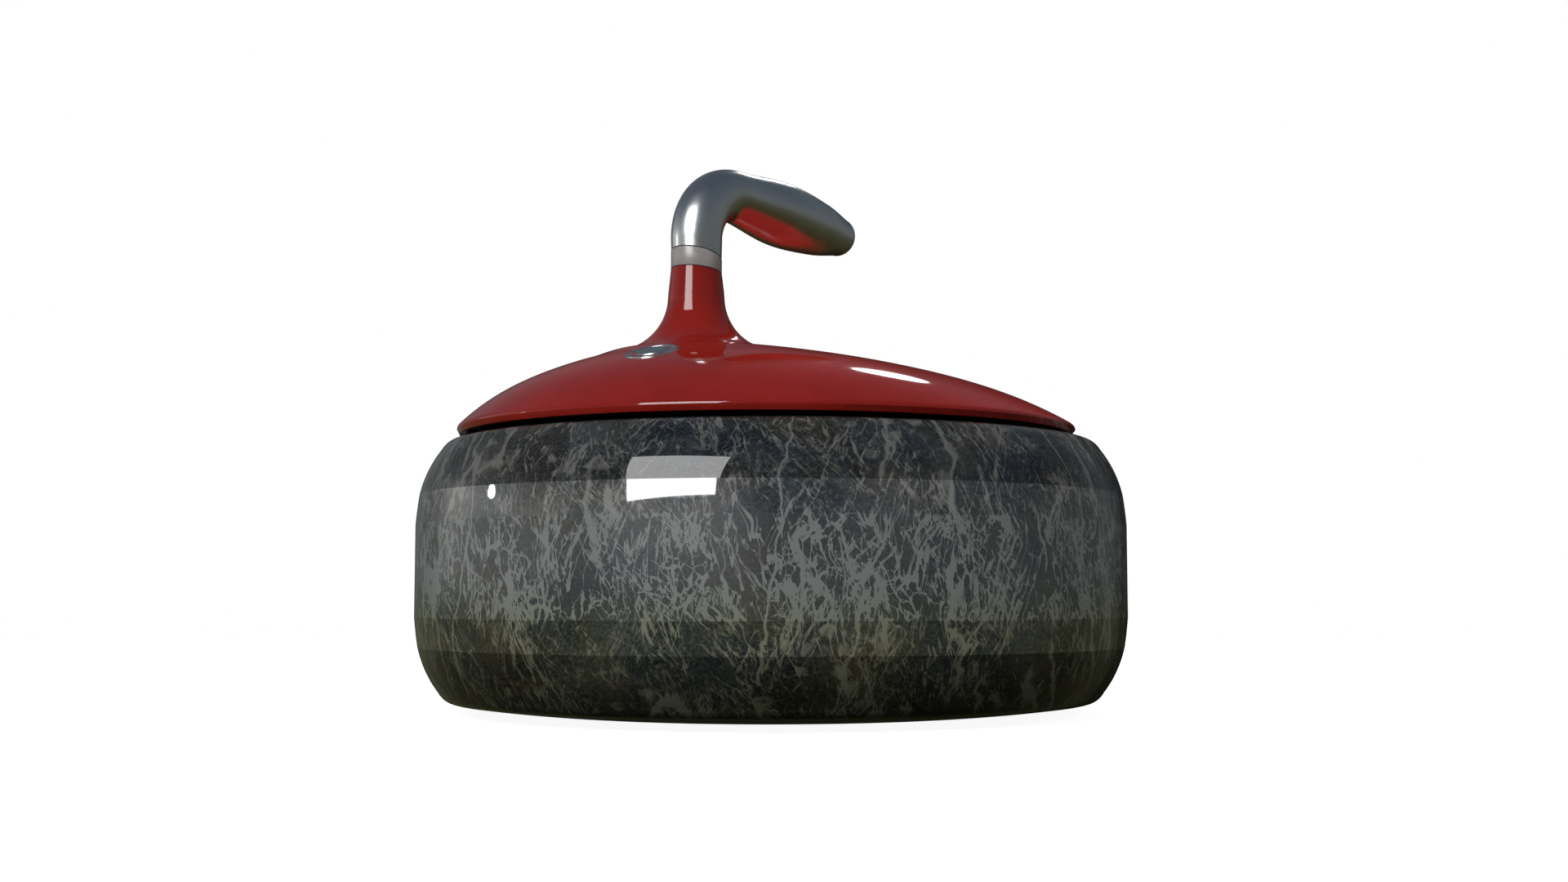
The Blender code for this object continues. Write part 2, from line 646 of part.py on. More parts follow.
def smooth_through(table, share):
    """Value at share of a smooth curve through a table of (share, value)."""
    slopes = []
    for before, after in zip([table[0], *table], [*table[1:], table[-1]]):
        slopes.append((after[1] - before[1]) / (after[0] - before[0]))
    for i in range(len(table) - 1):
        (low, start), (high, end) = table[i], table[i + 1]
        if share <= high:
            break
    width = high - low
    t = min(1.0, (share - low) / width)
    value = start + (end - start) * t * t * (3 - 2 * t)
    return value + width * t * (1 - t) * (slopes[i] * (1 - t) - slopes[i + 1] * t)


def grip_ring(share, radius):
    (x, z), angle = grip_path(share)
    first_tilt = max(0.0, 1.0 - share / GRIP_MOUTH_SHARE) * GRIP_SLOPE
    tilt = max(angle, first_tilt)
    points = []
    for i in range(GRIP_SEGMENTS):
        turn = 2 * math.pi * i / GRIP_SEGMENTS
        across, side = radius * math.cos(turn), radius * math.sin(turn)
        if angle < first_tilt:
            points.append((x + across, side, z - across * math.tan(tilt)))
        else:
            points.append((x + across * math.cos(tilt), side, z - across * math.sin(tilt)))
    return points


def grip_rings(wall, steps, end_share):
    """Rings from the mouth to a rounded end, set in from the outer surface by wall."""
    rings = []
    for i in range(steps + 1):
        share = end_share * i / steps
        rings.append(grip_ring(share, smooth_through(GRIP_RADII, share) - wall))
    end_radius = smooth_through(GRIP_RADII, end_share) - wall
    tip_share = end_radius * GRIP_TIP_LENGTH / sum(grip_lengths())
    for degrees in GRIP_TIP_ANGLES:
        angle = math.radians(degrees)
        share = end_share + tip_share * math.sin(angle)
        rings.append(grip_ring(share, end_radius * math.cos(angle)))
    return rings


def make_grip(finish):
    outer = grip_rings(0.0, 26, 1.0)
    inner = grip_rings(GRIP_WALL, 15, GRIP_HOLLOW_END)
    mesh = bmesh.new()
    rows = [[mesh.verts.new(Vector(point) * MM) for point in ring] for ring in outer]
    hollow = [[mesh.verts.new(Vector(point) * MM) for point in ring] for ring in inner]
    for chain in (rows, hollow, [rows[0], hollow[0]]):
        for low, high in zip(chain, chain[1:]):
            for i in range(GRIP_SEGMENTS):
                j = (i + 1) % GRIP_SEGMENTS
                mesh.faces.new((low[i], low[j], high[j], high[i]))
        if len(chain) > 2:
            mesh.faces.new(chain[-1])
    bmesh.ops.recalc_face_normals(mesh, faces=mesh.faces)
    add_object("grip_shell", mesh, finish)


def make_spigot(aluminium):
    """The grip's root: a plug through the collar into the cap's neck, bored for the bolt."""
    low, high, radius = SPIGOT_SOCKET_Z + GAP, SPIGOT_TOP_Z, SPIGOT_RADIUS
    bore = NECK_BOLT_RADIUS + SLIM_GAP
    chamfer = 0.5
    outline = [(bore, low), (radius - chamfer, low), (radius, low + chamfer)]
    outline += [(radius, high - chamfer), (radius - chamfer, high), (bore, high)]
    spigot = add_object("grip_spigot", turned(outline, ROUND_SEGMENTS, x=NECK_X), aluminium)
    hole = pin_hole(low - CUT_PAST, PIN_SPAN[1] + GAP)
    boolean(spigot, add_cutter("spigot_pin_hole", hole), "DIFFERENCE")


def pin_hole(low_z, high_z):
    radius = PIN_RADIUS + SLIM_GAP
    ends = [(radius, low_z), (radius, high_z)]
    return turned(ends, SMALL_SEGMENTS, False, NECK_X - PIN_OFFSET)


def make_locating_pin(steel):
    """The pin between cap and spigot that keeps the grip from turning on the neck."""
    low, high = PIN_SPAN
    radius, chamfer = PIN_RADIUS, 0.3
    outline = [(radius - chamfer, low), (radius, low + chamfer)]
    outline += [(radius, high - chamfer), (radius - chamfer, high)]
    pin = turned(outline, SMALL_SEGMENTS, False, NECK_X - PIN_OFFSET)
    add_object("locating_pin", pin, steel)


def main():
    for old in list(bpy.data.objects):
        bpy.data.objects.remove(old)
    granite = material("granite", (0.16, 0.18, 0.19), 0.25, 0.0)
    hone_granite = material("hone_granite", (0.24, 0.27, 0.30), 0.45, 0.0)
    red_plastic = material("red_plastic", (0.42, 0.02, 0.02), 0.15, 0.0)
    collar_plastic = material("collar_plastic", (0.36, 0.32, 0.32), 0.4, 0.0)
    polished_steel = material("polished_steel", (0.55, 0.57, 0.60), 0.15, 1.0)
    zinc_steel = material("zinc_steel", (0.60, 0.60, 0.58), 0.35, 1.0)
    aluminium = material("aluminium", (0.70, 0.71, 0.72), 0.35, 1.0)
    brass = material("brass", (0.72, 0.52, 0.22), 0.3, 1.0)
    silver = material("silver", (0.70, 0.70, 0.70), 0.25, 1.0)
    rubber = material("rubber", (0.02, 0.02, 0.02), 0.8, 0.0)

    make_stone_body(granite)
    make_running_insert(hone_granite)
    make_handle_bolt(zinc_steel, rubber)
    make_handle_cap(red_plastic)
    make_boss_sleeve(brass)
    make_seat_washer(rubber)
    make_seat_ring(rubber)
    make_badge(silver)
    make_collar(collar_plastic)
    make_grip(polished_steel)
    make_spigot(aluminium)
    make_locating_pin(zinc_steel)
    make_neck_bolt(zinc_steel)


main()
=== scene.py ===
"""Looks of the curling stone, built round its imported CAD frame.

The stone, the running insert, the cap, the collar, the badge and the grip are rebuilt
here with fine surfaces from the same measures as the CAD solids, and stand for them. The
bolts, washers, sleeve, spigot, pin and rubber rings are the CAD solids with new materials.
Sizes are in millimetres until a mesh is made.
"""

import math

import bmesh
import bpy
from mathutils import Matrix, Quaternion, Vector


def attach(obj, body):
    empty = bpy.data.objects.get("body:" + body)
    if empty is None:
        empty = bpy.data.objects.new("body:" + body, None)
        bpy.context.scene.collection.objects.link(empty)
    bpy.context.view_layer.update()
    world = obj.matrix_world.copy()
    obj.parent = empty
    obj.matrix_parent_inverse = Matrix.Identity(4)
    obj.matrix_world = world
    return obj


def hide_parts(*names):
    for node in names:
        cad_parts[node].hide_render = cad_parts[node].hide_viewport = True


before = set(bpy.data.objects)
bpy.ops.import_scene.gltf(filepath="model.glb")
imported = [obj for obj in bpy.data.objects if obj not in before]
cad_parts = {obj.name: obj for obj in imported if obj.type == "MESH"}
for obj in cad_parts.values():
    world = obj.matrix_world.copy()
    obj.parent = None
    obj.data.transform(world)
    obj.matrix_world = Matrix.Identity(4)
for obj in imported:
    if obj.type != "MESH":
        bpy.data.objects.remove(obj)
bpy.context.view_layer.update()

MM = 0.001

# Stone and running insert
STONE_HEIGHT = 114.3
BAND_RADIUS = 144.9
BAND_EDGE_Z = 38.8
BEVEL_EDGE = (143.5, 26.9)
CORNER_START = (135.1, 8.8)
CORNER = (133.0, 5.2)
CORNER_END = (129.5, 4.67)
SIDE_BULGE = 1.1
BEVEL_BULGE = 0.1
UNDERSIDE_ARC_RADIUS = 434.0
RUNNING_BAND = (61.5, 66.0)
CUP_FLOOR_RADIUS = 40.0
CUP_DEPTH = 5.0
CUP_BULGE = 0.8
BOLT_HOLE_RADIUS = 8.0
INSERT_RADIUS = 78.0
INSERT_TOP = 22.0
INSERT_HOLE_RADIUS = 21.0
INSERT_CUP_HEIGHT = 7.0
INSERT_CUP_BULGE = 1.2
INSERT_CUP_STEP = (0.8, 0.5)
GAP = 0.3
STONE_SEGMENTS = 320
RING_SPACING = 6.0
STONE_SMOOTH_ANGLE = 3.0
INSERT_SMOOTH_ANGLE = 8.0

# Cap
CAP_RADIUS = 126.6
CAP_CENTRE_X = -3.2
CAP_EDGE_Z = 115.2
CAP_LIP = (125.2, 112.2)
CAP_SOLE = (123.0, 111.9)
CAP_APEX_Z = 146.0
CAP_SPHERE_RADIUS = 309.0
CAP_WALL = 4.0
CAP_RIM_WALL = 4.6
CAVITY_RADIUS = 118.0
EDGE_ROUND_START = 80.0
EDGE_ROUND_POWER = 3.0
RIM_ROUND = 0.7
SLIDE_SPAN = (14.0, 58.0)
NECK_X = -46.9
NECK_RADIUS = 10.2
NECK_FOOT_RADIUS = 11.3
FILLET_RADIUS = 22.0
NECK_TOP_Z = 176.1
NECK_CEILING_RADIUS = 30.0
NECK_BORE_TOP_Z = 164.0
CAP_SEGMENTS = 256
RIM_STEPS = 8
DOME_STEPS = 60
DOME_GATHER = 1.2
FILLET_STEPS = 30
FILLET_SWEEP = 88.0
FILLET_END = 1.0
NECK_STEPS = 6
CAVITY_STEPS = 23
HALVINGS = 40

# Collar and grip
COLLAR_SLOPE = math.radians(7.5)
GRIP_SLOPE = math.radians(14.0)
COLLAR_HEIGHT = 6.5
COLLAR_EDGE = 0.35
COLLAR_SLACK = 0.15
BEND_START_Z = 189.4
BEND_RADIUS = 21.0
GRIP_DROP = math.radians(5.4)
GRIP_LENGTH = 69.3
GRIP_WALL = 2.0
GRIP_RADII = ((0.0, 10.1), (0.2, 10.6), (0.38, 10.8), (0.63, 13.6), (0.86, 11.6), (1.0, 8.3))
GRIP_MOUTH_SHARE = 0.07
GRIP_TIP_LENGTH = 0.765
GRIP_TIP_SWEEP = 88.0
GRIP_TIP_STEPS = 14
GRIP_HOLLOW_END = 0.985
GRIP_SEGMENTS = 96
GRIP_SMOOTH_ANGLE = 40.0
SPIGOT_RADIUS = 7.4

# Badge
BADGE_CENTRE = (-90.0, -17.0)
BADGE_RADIUS = 10.5
BADGE_THICKNESS = 1.5
BADGE_PROUD = 0.45
BADGE_EDGE = 0.3
BADGE_SMOOTH_ANGLE = 25.0

# Camera: where it stands when the handle points to its right and away from it
HANDLE_TURN = math.radians(50.1)
CAMERA_PLACE = (0.0, -0.785, 0.04816)
CAMERA_PITCH = math.radians(4.608)
CAMERA_YAW = math.radians(0.378)
CAMERA_LENS = 43.46

# The point that every light faces, in the camera's own frame
LIGHT_TARGET = Vector((-0.035, -0.135, 0.085))

# What the object's gloss shows around it. Each list gives colours by height, from -1, straight
# down, to 1, straight up: a dim ground under a dim sky, and a sky that is bright on one side.
GROUND = (
    (-1.0, (0.022, 0.023, 0.009)),
    (-0.6, (0.038, 0.038, 0.015)),
    (-0.35, (0.062, 0.062, 0.030)),
    (-0.10, (0.095, 0.098, 0.062)),
    (-0.01, (0.11, 0.12, 0.08)),
)
DIM_SKY = (
    (0.01, (0.145, 0.155, 0.15)),
    (0.10, (0.165, 0.18, 0.18)),
    (0.30, (0.150, 0.170, 0.185)),
    (0.55, (0.115, 0.14, 0.17)),
    (1.0, (0.08, 0.10, 0.14)),
)
BRIGHT_SKY = (
    (0.01, (0.52, 0.52, 0.47)),
    (0.08, (0.60, 0.61, 0.59)),
    (0.17, (0.88, 0.88, 0.85)),
    (0.30, (0.38, 0.40, 0.43)),
    (0.55, (0.16, 0.19, 0.22)),
    (1.0, (0.08, 0.10, 0.135)),
)
# Where the parts of the surround lie: directions in the camera's own frame (right, away, up),
# and ranges of how well a direction agrees with them, from 0 at right angles to 1.
BRIGHT_SIDE = (-0.906, 0.423, 0.0)
BRIGHT_RANGE = (0.35, 0.98)
FAR_SIDE = (0.21, 0.978, 0.0)
BRIGHT_END_RANGE = (0.30, 0.56)
DIM_RANGE = (0.80, 0.97)
DIM_SHARE = 0.12
GLOW_SIDE = (-0.5, -0.86, 0.10)
GLOW_RANGE = (0.85, 1.0)
GLOW_HEIGHTS = (-0.02, 0.04)
GLOW = (0.85, 0.87, 0.88)

# Granite looks
COLD_DARK = (0.007, 0.010, 0.0145)
WARM_DARK = (0.012, 0.0118, 0.0100)
COLD_PALE = (0.023, 0.027, 0.031)
WARM_PALE = (0.030, 0.029, 0.024)
LIGHT_GRAIN = (0.10, 0.10, 0.096)
DARK_GRAIN = (0.003, 0.004, 0.005)
VEIN = (0.135, 0.135, 0.124)
BAND_VEIN = (0.117, 0.124, 0.122)
BAND_HAZE = (0.062, 0.066, 0.066)
HAZE_SHARE = 0.28
POLISHED_PATCHINESS = 0.62
# Painted shade: the granite's colour darkened towards the underside, where less light falls
LOW_PAINTED_SHADE = (0.66, 0.66, 0.63)
# Painted reflection: an olive cast on the lower side, standing for the olive ground it reflects
OLIVE_PAINTED_REFLECTION = (1.0, 1.0, 0.79)
NO_TINT = (1.0, 1.0, 1.0)

# Floor
FLOOR_Z = -0.05
FLOOR_RADIUS = 1500.0
FLOOR_FADE = (0.5, 1.4)
FLOOR_GREY = 0.25
FLOOR_GLOW = 0.93

# Materials with a pair of colours and a pair of roughnesses. Patch and grain are the sizes of
# their variation and of their fine relief, and relief is its depth, all in millimetres.
WORKED_MATERIALS = {
    "red_plastic": {
        "colours": ((0.124, 0.0062, 0.0042), (0.154, 0.0080, 0.0056)),
        "roughness": (0.05, 0.08),
        "patch": 38.0,
        "grain": 0.7,
        "relief": 0.002,
        "specular": 0.32,
    },
    "collar_plastic": {
        "colours": ((0.168, 0.155, 0.152), (0.205, 0.189, 0.185)),
        "roughness": (0.24, 0.34),
        "patch": 6.0,
        "grain": 0.4,
        "relief": 0.02,
    },
    "polished_steel": {
        "colours": ((0.53, 0.545, 0.55), (0.60, 0.60, 0.60)),
        "roughness": (0.23, 0.27),
        "metallic": 1.0,
        "patch": 16.0,
        "grain": 0.6,
        "relief": 0.004,
    },
    "silver_badge": {
        "colours": ((0.50, 0.51, 0.52), (0.64, 0.64, 0.64)),
        "roughness": (0.20, 0.32),
        "metallic": 1.0,
        "patch": 5.0,
        "grain": 0.3,
        "relief": 0.01,
    },
    "zinc_steel": {
        "colours": ((0.46, 0.47, 0.47), (0.62, 0.62, 0.58)),
        "roughness": (0.28, 0.46),
        "metallic": 1.0,
        "patch": 3.0,
        "grain": 0.35,
        "relief": 0.01,
    },
    "aluminium": {
        "colours": ((0.58, 0.59, 0.61), (0.72, 0.73, 0.74)),
        "roughness": (0.26, 0.40),
        "metallic": 1.0,
        "patch": 4.0,
        "grain": 0.25,
        "relief": 0.008,
    },
    "brass": {
        "colours": ((0.55, 0.37, 0.15), (0.74, 0.55, 0.26)),
        "roughness": (0.22, 0.40),
        "metallic": 1.0,
        "patch": 4.0,
        "grain": 0.3,
        "relief": 0.008,
    },
    "rubber": {
        "colours": ((0.014, 0.014, 0.015), (0.030, 0.029, 0.028)),
        "roughness": (0.65, 0.85),
        "patch": 5.0,
        "grain": 0.3,
        "relief": 0.03,
    },
}

# The CAD pieces that are kept as they are, and their materials
KEPT_PIECES = {
    "handle_bolt": "zinc_steel",
    "bolt_washer": "zinc_steel",
    "bolt_cushion_washer": "rubber",
    "boss_insert": "brass",
    "seat_washer": "rubber",
    "seat_ring": "rubber",
    "grip_spigot": "aluminium",
    "locating_pin": "zinc_steel",
    "neck_bolt": "zinc_steel",
    "neck_bolt_washer": "zinc_steel",
    "neck_spring_washer": "zinc_steel",
}


# Mesh helpers


def corner_curve(start, control, end, steps):
    """Points of a quadratic curve from start to end, drawn towards control."""
    points = []
    for i in range(steps + 1):
        t = i / steps
        weights = ((1 - t) ** 2, 2 * t * (1 - t), t**2)
        pair = zip(*[(w * p[0], w * p[1]) for w, p in zip(weights, (start, control, end))])
        points.append(tuple(sum(values) for values in pair))
    return points


def bulged(start, end, bulge, steps):
    """Points along a shallow arc that stands off its chord by bulge, on the chord's right."""
    middle = ((start[0] + end[0]) / 2, (start[1] + end[1]) / 2)
    along = (end[0] - start[0], end[1] - start[1])
    push = 2 * bulge / math.hypot(*along)
    control = (middle[0] + push * along[1], middle[1] - push * along[0])
    return corner_curve(start, control, end, steps)


def filled(points, spacing):
    """The outline with extra points along its long straight stretches."""
    made = [points[0]]
    for (r0, z0), (r1, z1) in zip(points, points[1:]):
        steps = max(1, math.ceil(math.hypot(r1 - r0, z1 - z0) / spacing))
        for i in range(1, steps + 1):
            made.append((r0 + (r1 - r0) * i / steps, z0 + (z1 - z0) * i / steps))
    return made


def circle(radius, z, segments, x=0.0):
    """Points round an upright axis that stands at x."""
    angles = [2 * math.pi * i / segments for i in range(segments)]
    return [(x + radius * math.cos(a), radius * math.sin(a), z) for a in angles]


def skin_mesh(chains):
    """A bmesh from chains of rings. A chain is (rings, cap_first, cap_last), and rings that
    two chains share by identity become one row of vertices."""
    mesh = bmesh.new()
    rows = {}

    def row(ring):
        if id(ring) not in rows:
            rows[id(ring)] = [mesh.verts.new(Vector(point) * MM) for point in ring]
        return rows[id(ring)]

    for rings, cap_first, cap_last in chains:
        for low, high in zip(rings, rings[1:]):
            a, b = row(low), row(high)
            for i in range(len(a)):
                j = (i + 1) % len(a)
                mesh.faces.new((a[i], a[j], b[j], b[i]))
        if cap_first:
            mesh.faces.new(row(rings[0]))
        if cap_last:
            mesh.faces.new(row(rings[-1]))
    bmesh.ops.recalc_face_normals(mesh, faces=mesh.faces)
    return mesh


def add_piece(name, mesh, material, smooth_angle=30.0):
    """An object made from a bmesh, smooth but for edges sharper than this angle in degrees."""
    data = bpy.data.meshes.new(name)
    mesh.to_mesh(data)
    mesh.free()
    data.shade_smooth()
    data.set_sharp_from_angle(angle=math.radians(smooth_angle))
    made = bpy.data.objects.new(name, data)
    bpy.context.scene.collection.objects.link(made)
    data.materials.append(material)
    return made


def turned(outline, segments, x=0.0):
    """A closed solid of revolution from an outline whose end joins its start."""
    rings = [circle(radius, z, segments, x) for radius, z in outline]
    return skin_mesh([(rings + [rings[0]], False, False)])


def stand_for(piece, node):
    """Puts a piece in the place of a CAD node: hangs it under the root body and hides the node."""
    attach(piece, "root")
    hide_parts(node)


# Stone


def underside_z(radius):
    """Height of the stone's dished underside, outside its running band."""
    reach = radius - RUNNING_BAND[1]
    return UNDERSIDE_ARC_RADIUS - math.sqrt(UNDERSIDE_ARC_RADIUS**2 - reach**2)


def lower_side():
    """The stone's outline from the insert's pocket up to the middle of the striking band."""
    start = INSERT_RADIUS + GAP
    steps = 16
    radii = [start + (CORNER_END[0] - start) * i / steps for i in range(steps)]
    outline = [(radius, underside_z(radius)) for radius in radii]
    outline += corner_curve(CORNER_END, CORNER, CORNER_START, steps=18)
    outline += bulged(CORNER_START, BEVEL_EDGE, SIDE_BULGE, steps=16)[1:]
    outline += bulged(BEVEL_EDGE, (BAND_RADIUS, BAND_EDGE_Z), BEVEL_BULGE, steps=4)[1:]
    return outline


def make_stone(bevel_granite, band_granite, polished_granite):
    """The stone, with one material on its bevels, one on the striking band and one elsewhere. They
    differ in gloss and finish, and in painted light and shade: the bevels are painted lighter and
    the top and underside darker.
    """
    lower = lower_side()
    upper = [(radius, STONE_HEIGHT - z) for radius, z in reversed(lower)]
    floor_z = STONE_HEIGHT - CUP_DEPTH
    outline = [(BOLT_HOLE_RADIUS, INSERT_TOP), (INSERT_RADIUS + GAP, INSERT_TOP)]
    outline += lower + upper
    outline.append((RUNNING_BAND[1], STONE_HEIGHT))
    cup_edge = (RUNNING_BAND[0], STONE_HEIGHT)
    cup_floor = (CUP_FLOOR_RADIUS, floor_z)
    outline += bulged(cup_edge, cup_floor, CUP_BULGE, steps=8)
    outline.append((BOLT_HOLE_RADIUS, floor_z))
    mesh = turned(filled(outline, RING_SPACING), STONE_SEGMENTS)
    stone = add_piece("granite_stone", mesh, bevel_granite, STONE_SMOOTH_ANGLE)
    stone.data.materials.append(band_granite)
    stone.data.materials.append(polished_granite)
    for face in stone.data.polygons:
        z = face.center.z / MM
        if BAND_EDGE_Z < z < STONE_HEIGHT - BAND_EDGE_Z:
            face.material_index = 1
        elif not BEVEL_EDGE[1] < z < STONE_HEIGHT - BEVEL_EDGE[1]:
            face.material_index = 2
    stand_for(stone, "stone_body")


def make_running_insert(granite):
    """The ring that touches the ice, with its dished face and its bolt recess."""
    inner, outer = RUNNING_BAND
    top = INSERT_TOP - GAP
    outline = [(INSERT_HOLE_RADIUS, top), (INSERT_RADIUS, top)]
    outline += [(INSERT_RADIUS, underside_z(INSERT_RADIUS)), (outer, 0.0), (inner, 0.0)]
    cup_rim = (inner - INSERT_CUP_STEP[0], INSERT_CUP_STEP[1])
    cup_top = (INSERT_HOLE_RADIUS, INSERT_CUP_HEIGHT)
    outline += bulged(cup_rim, cup_top, -INSERT_CUP_BULGE, steps=12)
    mesh = turned(filled(outline, RING_SPACING), STONE_SEGMENTS)
    insert = add_piece("hone_insert", mesh, granite, INSERT_SMOOTH_ANGLE)
    stand_for(insert, "running_insert")


# Cap


def dome_z(radius):
    """Height of the dome over a ring of this radius: a sphere that drops faster to the rim."""
    sphere = CAP_APEX_Z - CAP_SPHERE_RADIUS + math.sqrt(CAP_SPHERE_RADIUS**2 - radius**2)
    if radius <= EDGE_ROUND_START:
        return sphere
    rim_depth = CAP_SPHERE_RADIUS - math.sqrt(CAP_SPHERE_RADIUS**2 - CAP_RADIUS**2)
    edge_drop = CAP_APEX_Z - rim_depth - CAP_EDGE_Z
    share = (radius - EDGE_ROUND_START) / (CAP_RADIUS - EDGE_ROUND_START)
    return sphere - edge_drop * share**EDGE_ROUND_POWER


def cap_centre_x(radius):
    """Where a ring of the cap has its centre: it slides from the neck to the rim's own."""
    share = (radius - NECK_FOOT_RADIUS) / (CAP_RADIUS - NECK_FOOT_RADIUS)
    start, full = SLIDE_SPAN
    t = min(1.0, max(0.0, (radius - start) / (full - start)))
    return NECK_X + (CAP_CENTRE_X - NECK_X) * share * t * t * (3 - 2 * t)


def cap_ring(radius, z):
    """A ring of the cap, on the centre that its radius gives it."""
    return circle(radius, z, CAP_SEGMENTS, cap_centre_x(radius))


def lean(ring, slope):
    """The ring tipped down towards the grip's tip, by a slope in radians."""
    return [(x, y, z - (x - NECK_X) * math.tan(slope)) for x, y, z in ring]


def cap_outer_rings():
    """Rings of the cap's skin, from its sole over the rim, dome and fillet up to the neck's top."""
    rings = [cap_ring(*CAP_SOLE), cap_ring(*CAP_LIP)]
    edge = CAP_RADIUS - RIM_ROUND
    edge_z = dome_z(edge)
    rim_start = (CAP_RADIUS, edge_z - 2 * RIM_ROUND)
    rim_corner = (CAP_RADIUS, edge_z - RIM_ROUND)
    for point in corner_curve(rim_start, rim_corner, (edge, edge_z), RIM_STEPS):
        rings.append(cap_ring(*point))

    fillet_edge = NECK_FOOT_RADIUS + FILLET_RADIUS
    for i in range(1, DOME_STEPS):
        radius = edge - (edge - fillet_edge) * (i / DOME_STEPS) ** DOME_GATHER
        rings.append(cap_ring(radius, dome_z(radius)))

    fillet_z = dome_z(fillet_edge) + FILLET_RADIUS
    for i in range(FILLET_STEPS):
        angle = math.radians(FILLET_SWEEP * (1 - i / FILLET_STEPS) + FILLET_END)
        radius = fillet_edge - FILLET_RADIUS * math.cos(angle)
        rings.append(cap_ring(radius, fillet_z - FILLET_RADIUS * math.sin(angle)))

    for i in range(1, NECK_STEPS + 1):
        t = i / NECK_STEPS
        radius = NECK_FOOT_RADIUS + (NECK_RADIUS - NECK_FOOT_RADIUS) * t
        z = fillet_z + (NECK_TOP_Z - fillet_z) * t
        rings.append(lean(circle(radius, z, CAP_SEGMENTS, NECK_X), COLLAR_SLOPE * t * t))
    return rings


def neck_ring(radius, z):
    """A ring inside the neck."""
    return circle(radius, z, CAP_SEGMENTS, NECK_X)


def cap_inner_rings():
    """Rings of the cap's inner skin, from its mouth up the hollow and the neck's bore."""
    mouth = CAP_RADIUS - CAP_RIM_WALL
    rings = [cap_ring(mouth, CAP_SOLE[1]), cap_ring(mouth, CAP_EDGE_Z)]
    for i in range(CAVITY_STEPS + 1):
        radius = CAVITY_RADIUS - (CAVITY_RADIUS - NECK_CEILING_RADIUS) * i / CAVITY_STEPS
        ceiling_z = dome_z(radius) - CAP_WALL
        rings.append(cap_ring(radius, ceiling_z))
    for z in (ceiling_z, NECK_BORE_TOP_Z, NECK_BORE_TOP_Z + 1.0):
        rings.append(neck_ring(SPIGOT_RADIUS, z))
    rings.append(lean(neck_ring(SPIGOT_RADIUS + 0.1, NECK_TOP_Z), COLLAR_SLOPE))
    return rings


def make_cap(red):
    """The cap with its neck, a shell open underneath."""
    outer = cap_outer_rings()
    rings = outer + list(reversed(cap_inner_rings()))
    mesh = skin_mesh([(rings + [outer[0]], False, False)])
    cap = add_piece("cap_shell", mesh, red)
    stand_for(cap, "handle_cap")


# Collar and grip


def make_collar(material):
    """A ring whose upper face slopes more than its lower one."""
    low_z = NECK_TOP_Z + GAP
    high_z = low_z + COLLAR_HEIGHT
    edge = COLLAR_EDGE
    bore = SPIGOT_RADIUS + COLLAR_SLACK
    levels = [
        (bore, low_z, COLLAR_SLOPE),
        (NECK_RADIUS - edge, low_z, COLLAR_SLOPE),
        (NECK_RADIUS - 0.1, low_z + 0.1, COLLAR_SLOPE),
        (NECK_RADIUS, low_z + edge, COLLAR_SLOPE),
        (NECK_RADIUS, (low_z + high_z) / 2, (COLLAR_SLOPE + GRIP_SLOPE) / 2),
        (NECK_RADIUS, high_z - edge, GRIP_SLOPE),
        (NECK_RADIUS - 0.1, high_z - 0.1, GRIP_SLOPE),
        (NECK_RADIUS - edge, high_z, GRIP_SLOPE),
        (bore, high_z, GRIP_SLOPE),
    ]
    rings = [lean(circle(r, z, CAP_SEGMENTS, NECK_X), slope) for r, z, slope in levels]
    collar = add_piece("collar_ring", skin_mesh([(rings + [rings[0]], False, False)]), material)
    stand_for(collar, "neck_collar")


def grip_lengths():
    """Lengths of the grip's middle line: its rise, its bend and its straight palm part."""
    mouth_z = NECK_TOP_Z + 2 * GAP + COLLAR_HEIGHT
    turn = math.pi / 2 + GRIP_DROP
    return BEND_START_Z - mouth_z, BEND_RADIUS * turn, GRIP_LENGTH


def grip_path(share):
    """The point (x, z) at this share of the grip's middle line, and how far it has turned."""
    rise, bend, _ = grip_lengths()
    distance = share * sum(grip_lengths())
    if distance <= rise:
        return (NECK_X, BEND_START_Z - rise + distance), 0.0
    angle = min(bend, distance - rise) / BEND_RADIUS
    x = NECK_X + BEND_RADIUS * (1 - math.cos(angle))
    z = BEND_START_Z + BEND_RADIUS * math.sin(angle)
    beyond = max(0.0, distance - rise - bend)
    return (x + beyond * math.sin(angle), z + beyond * math.cos(angle)), angle


def smooth_through(table, share):
    """The value at this share on a smooth curve through the table's (share, value) pairs."""
    slopes = []
    for before, after in zip([table[0], *table], [*table[1:], table[-1]]):
        slopes.append((after[1] - before[1]) / (after[0] - before[0]))
    for i in range(len(table) - 1):
        (low, start), (high, end) = table[i], table[i + 1]
        if share <= high:
            break
    width = high - low
    t = min(1.0, (share - low) / width)
    value = start + (end - start) * t * t * (3 - 2 * t)
    return value + width * t * (1 - t) * (slopes[i] * (1 - t) - slopes[i + 1] * t)


def grip_ring(share, radius):
    """A ring round the middle line. The first rings still lean with the grip's mouth."""
    (x, z), angle = grip_path(share)
    first_tilt = max(0.0, 1.0 - share / GRIP_MOUTH_SHARE) * GRIP_SLOPE
    tilt = max(angle, first_tilt)
    points = []
    for i in range(GRIP_SEGMENTS):
        turn = 2 * math.pi * i / GRIP_SEGMENTS
        across, side = radius * math.cos(turn), radius * math.sin(turn)
        if angle < first_tilt:
            points.append((x + across, side, z - across * math.tan(tilt)))
        else:
            points.append((x + across * math.cos(tilt), side, z - across * math.sin(tilt)))
    return points


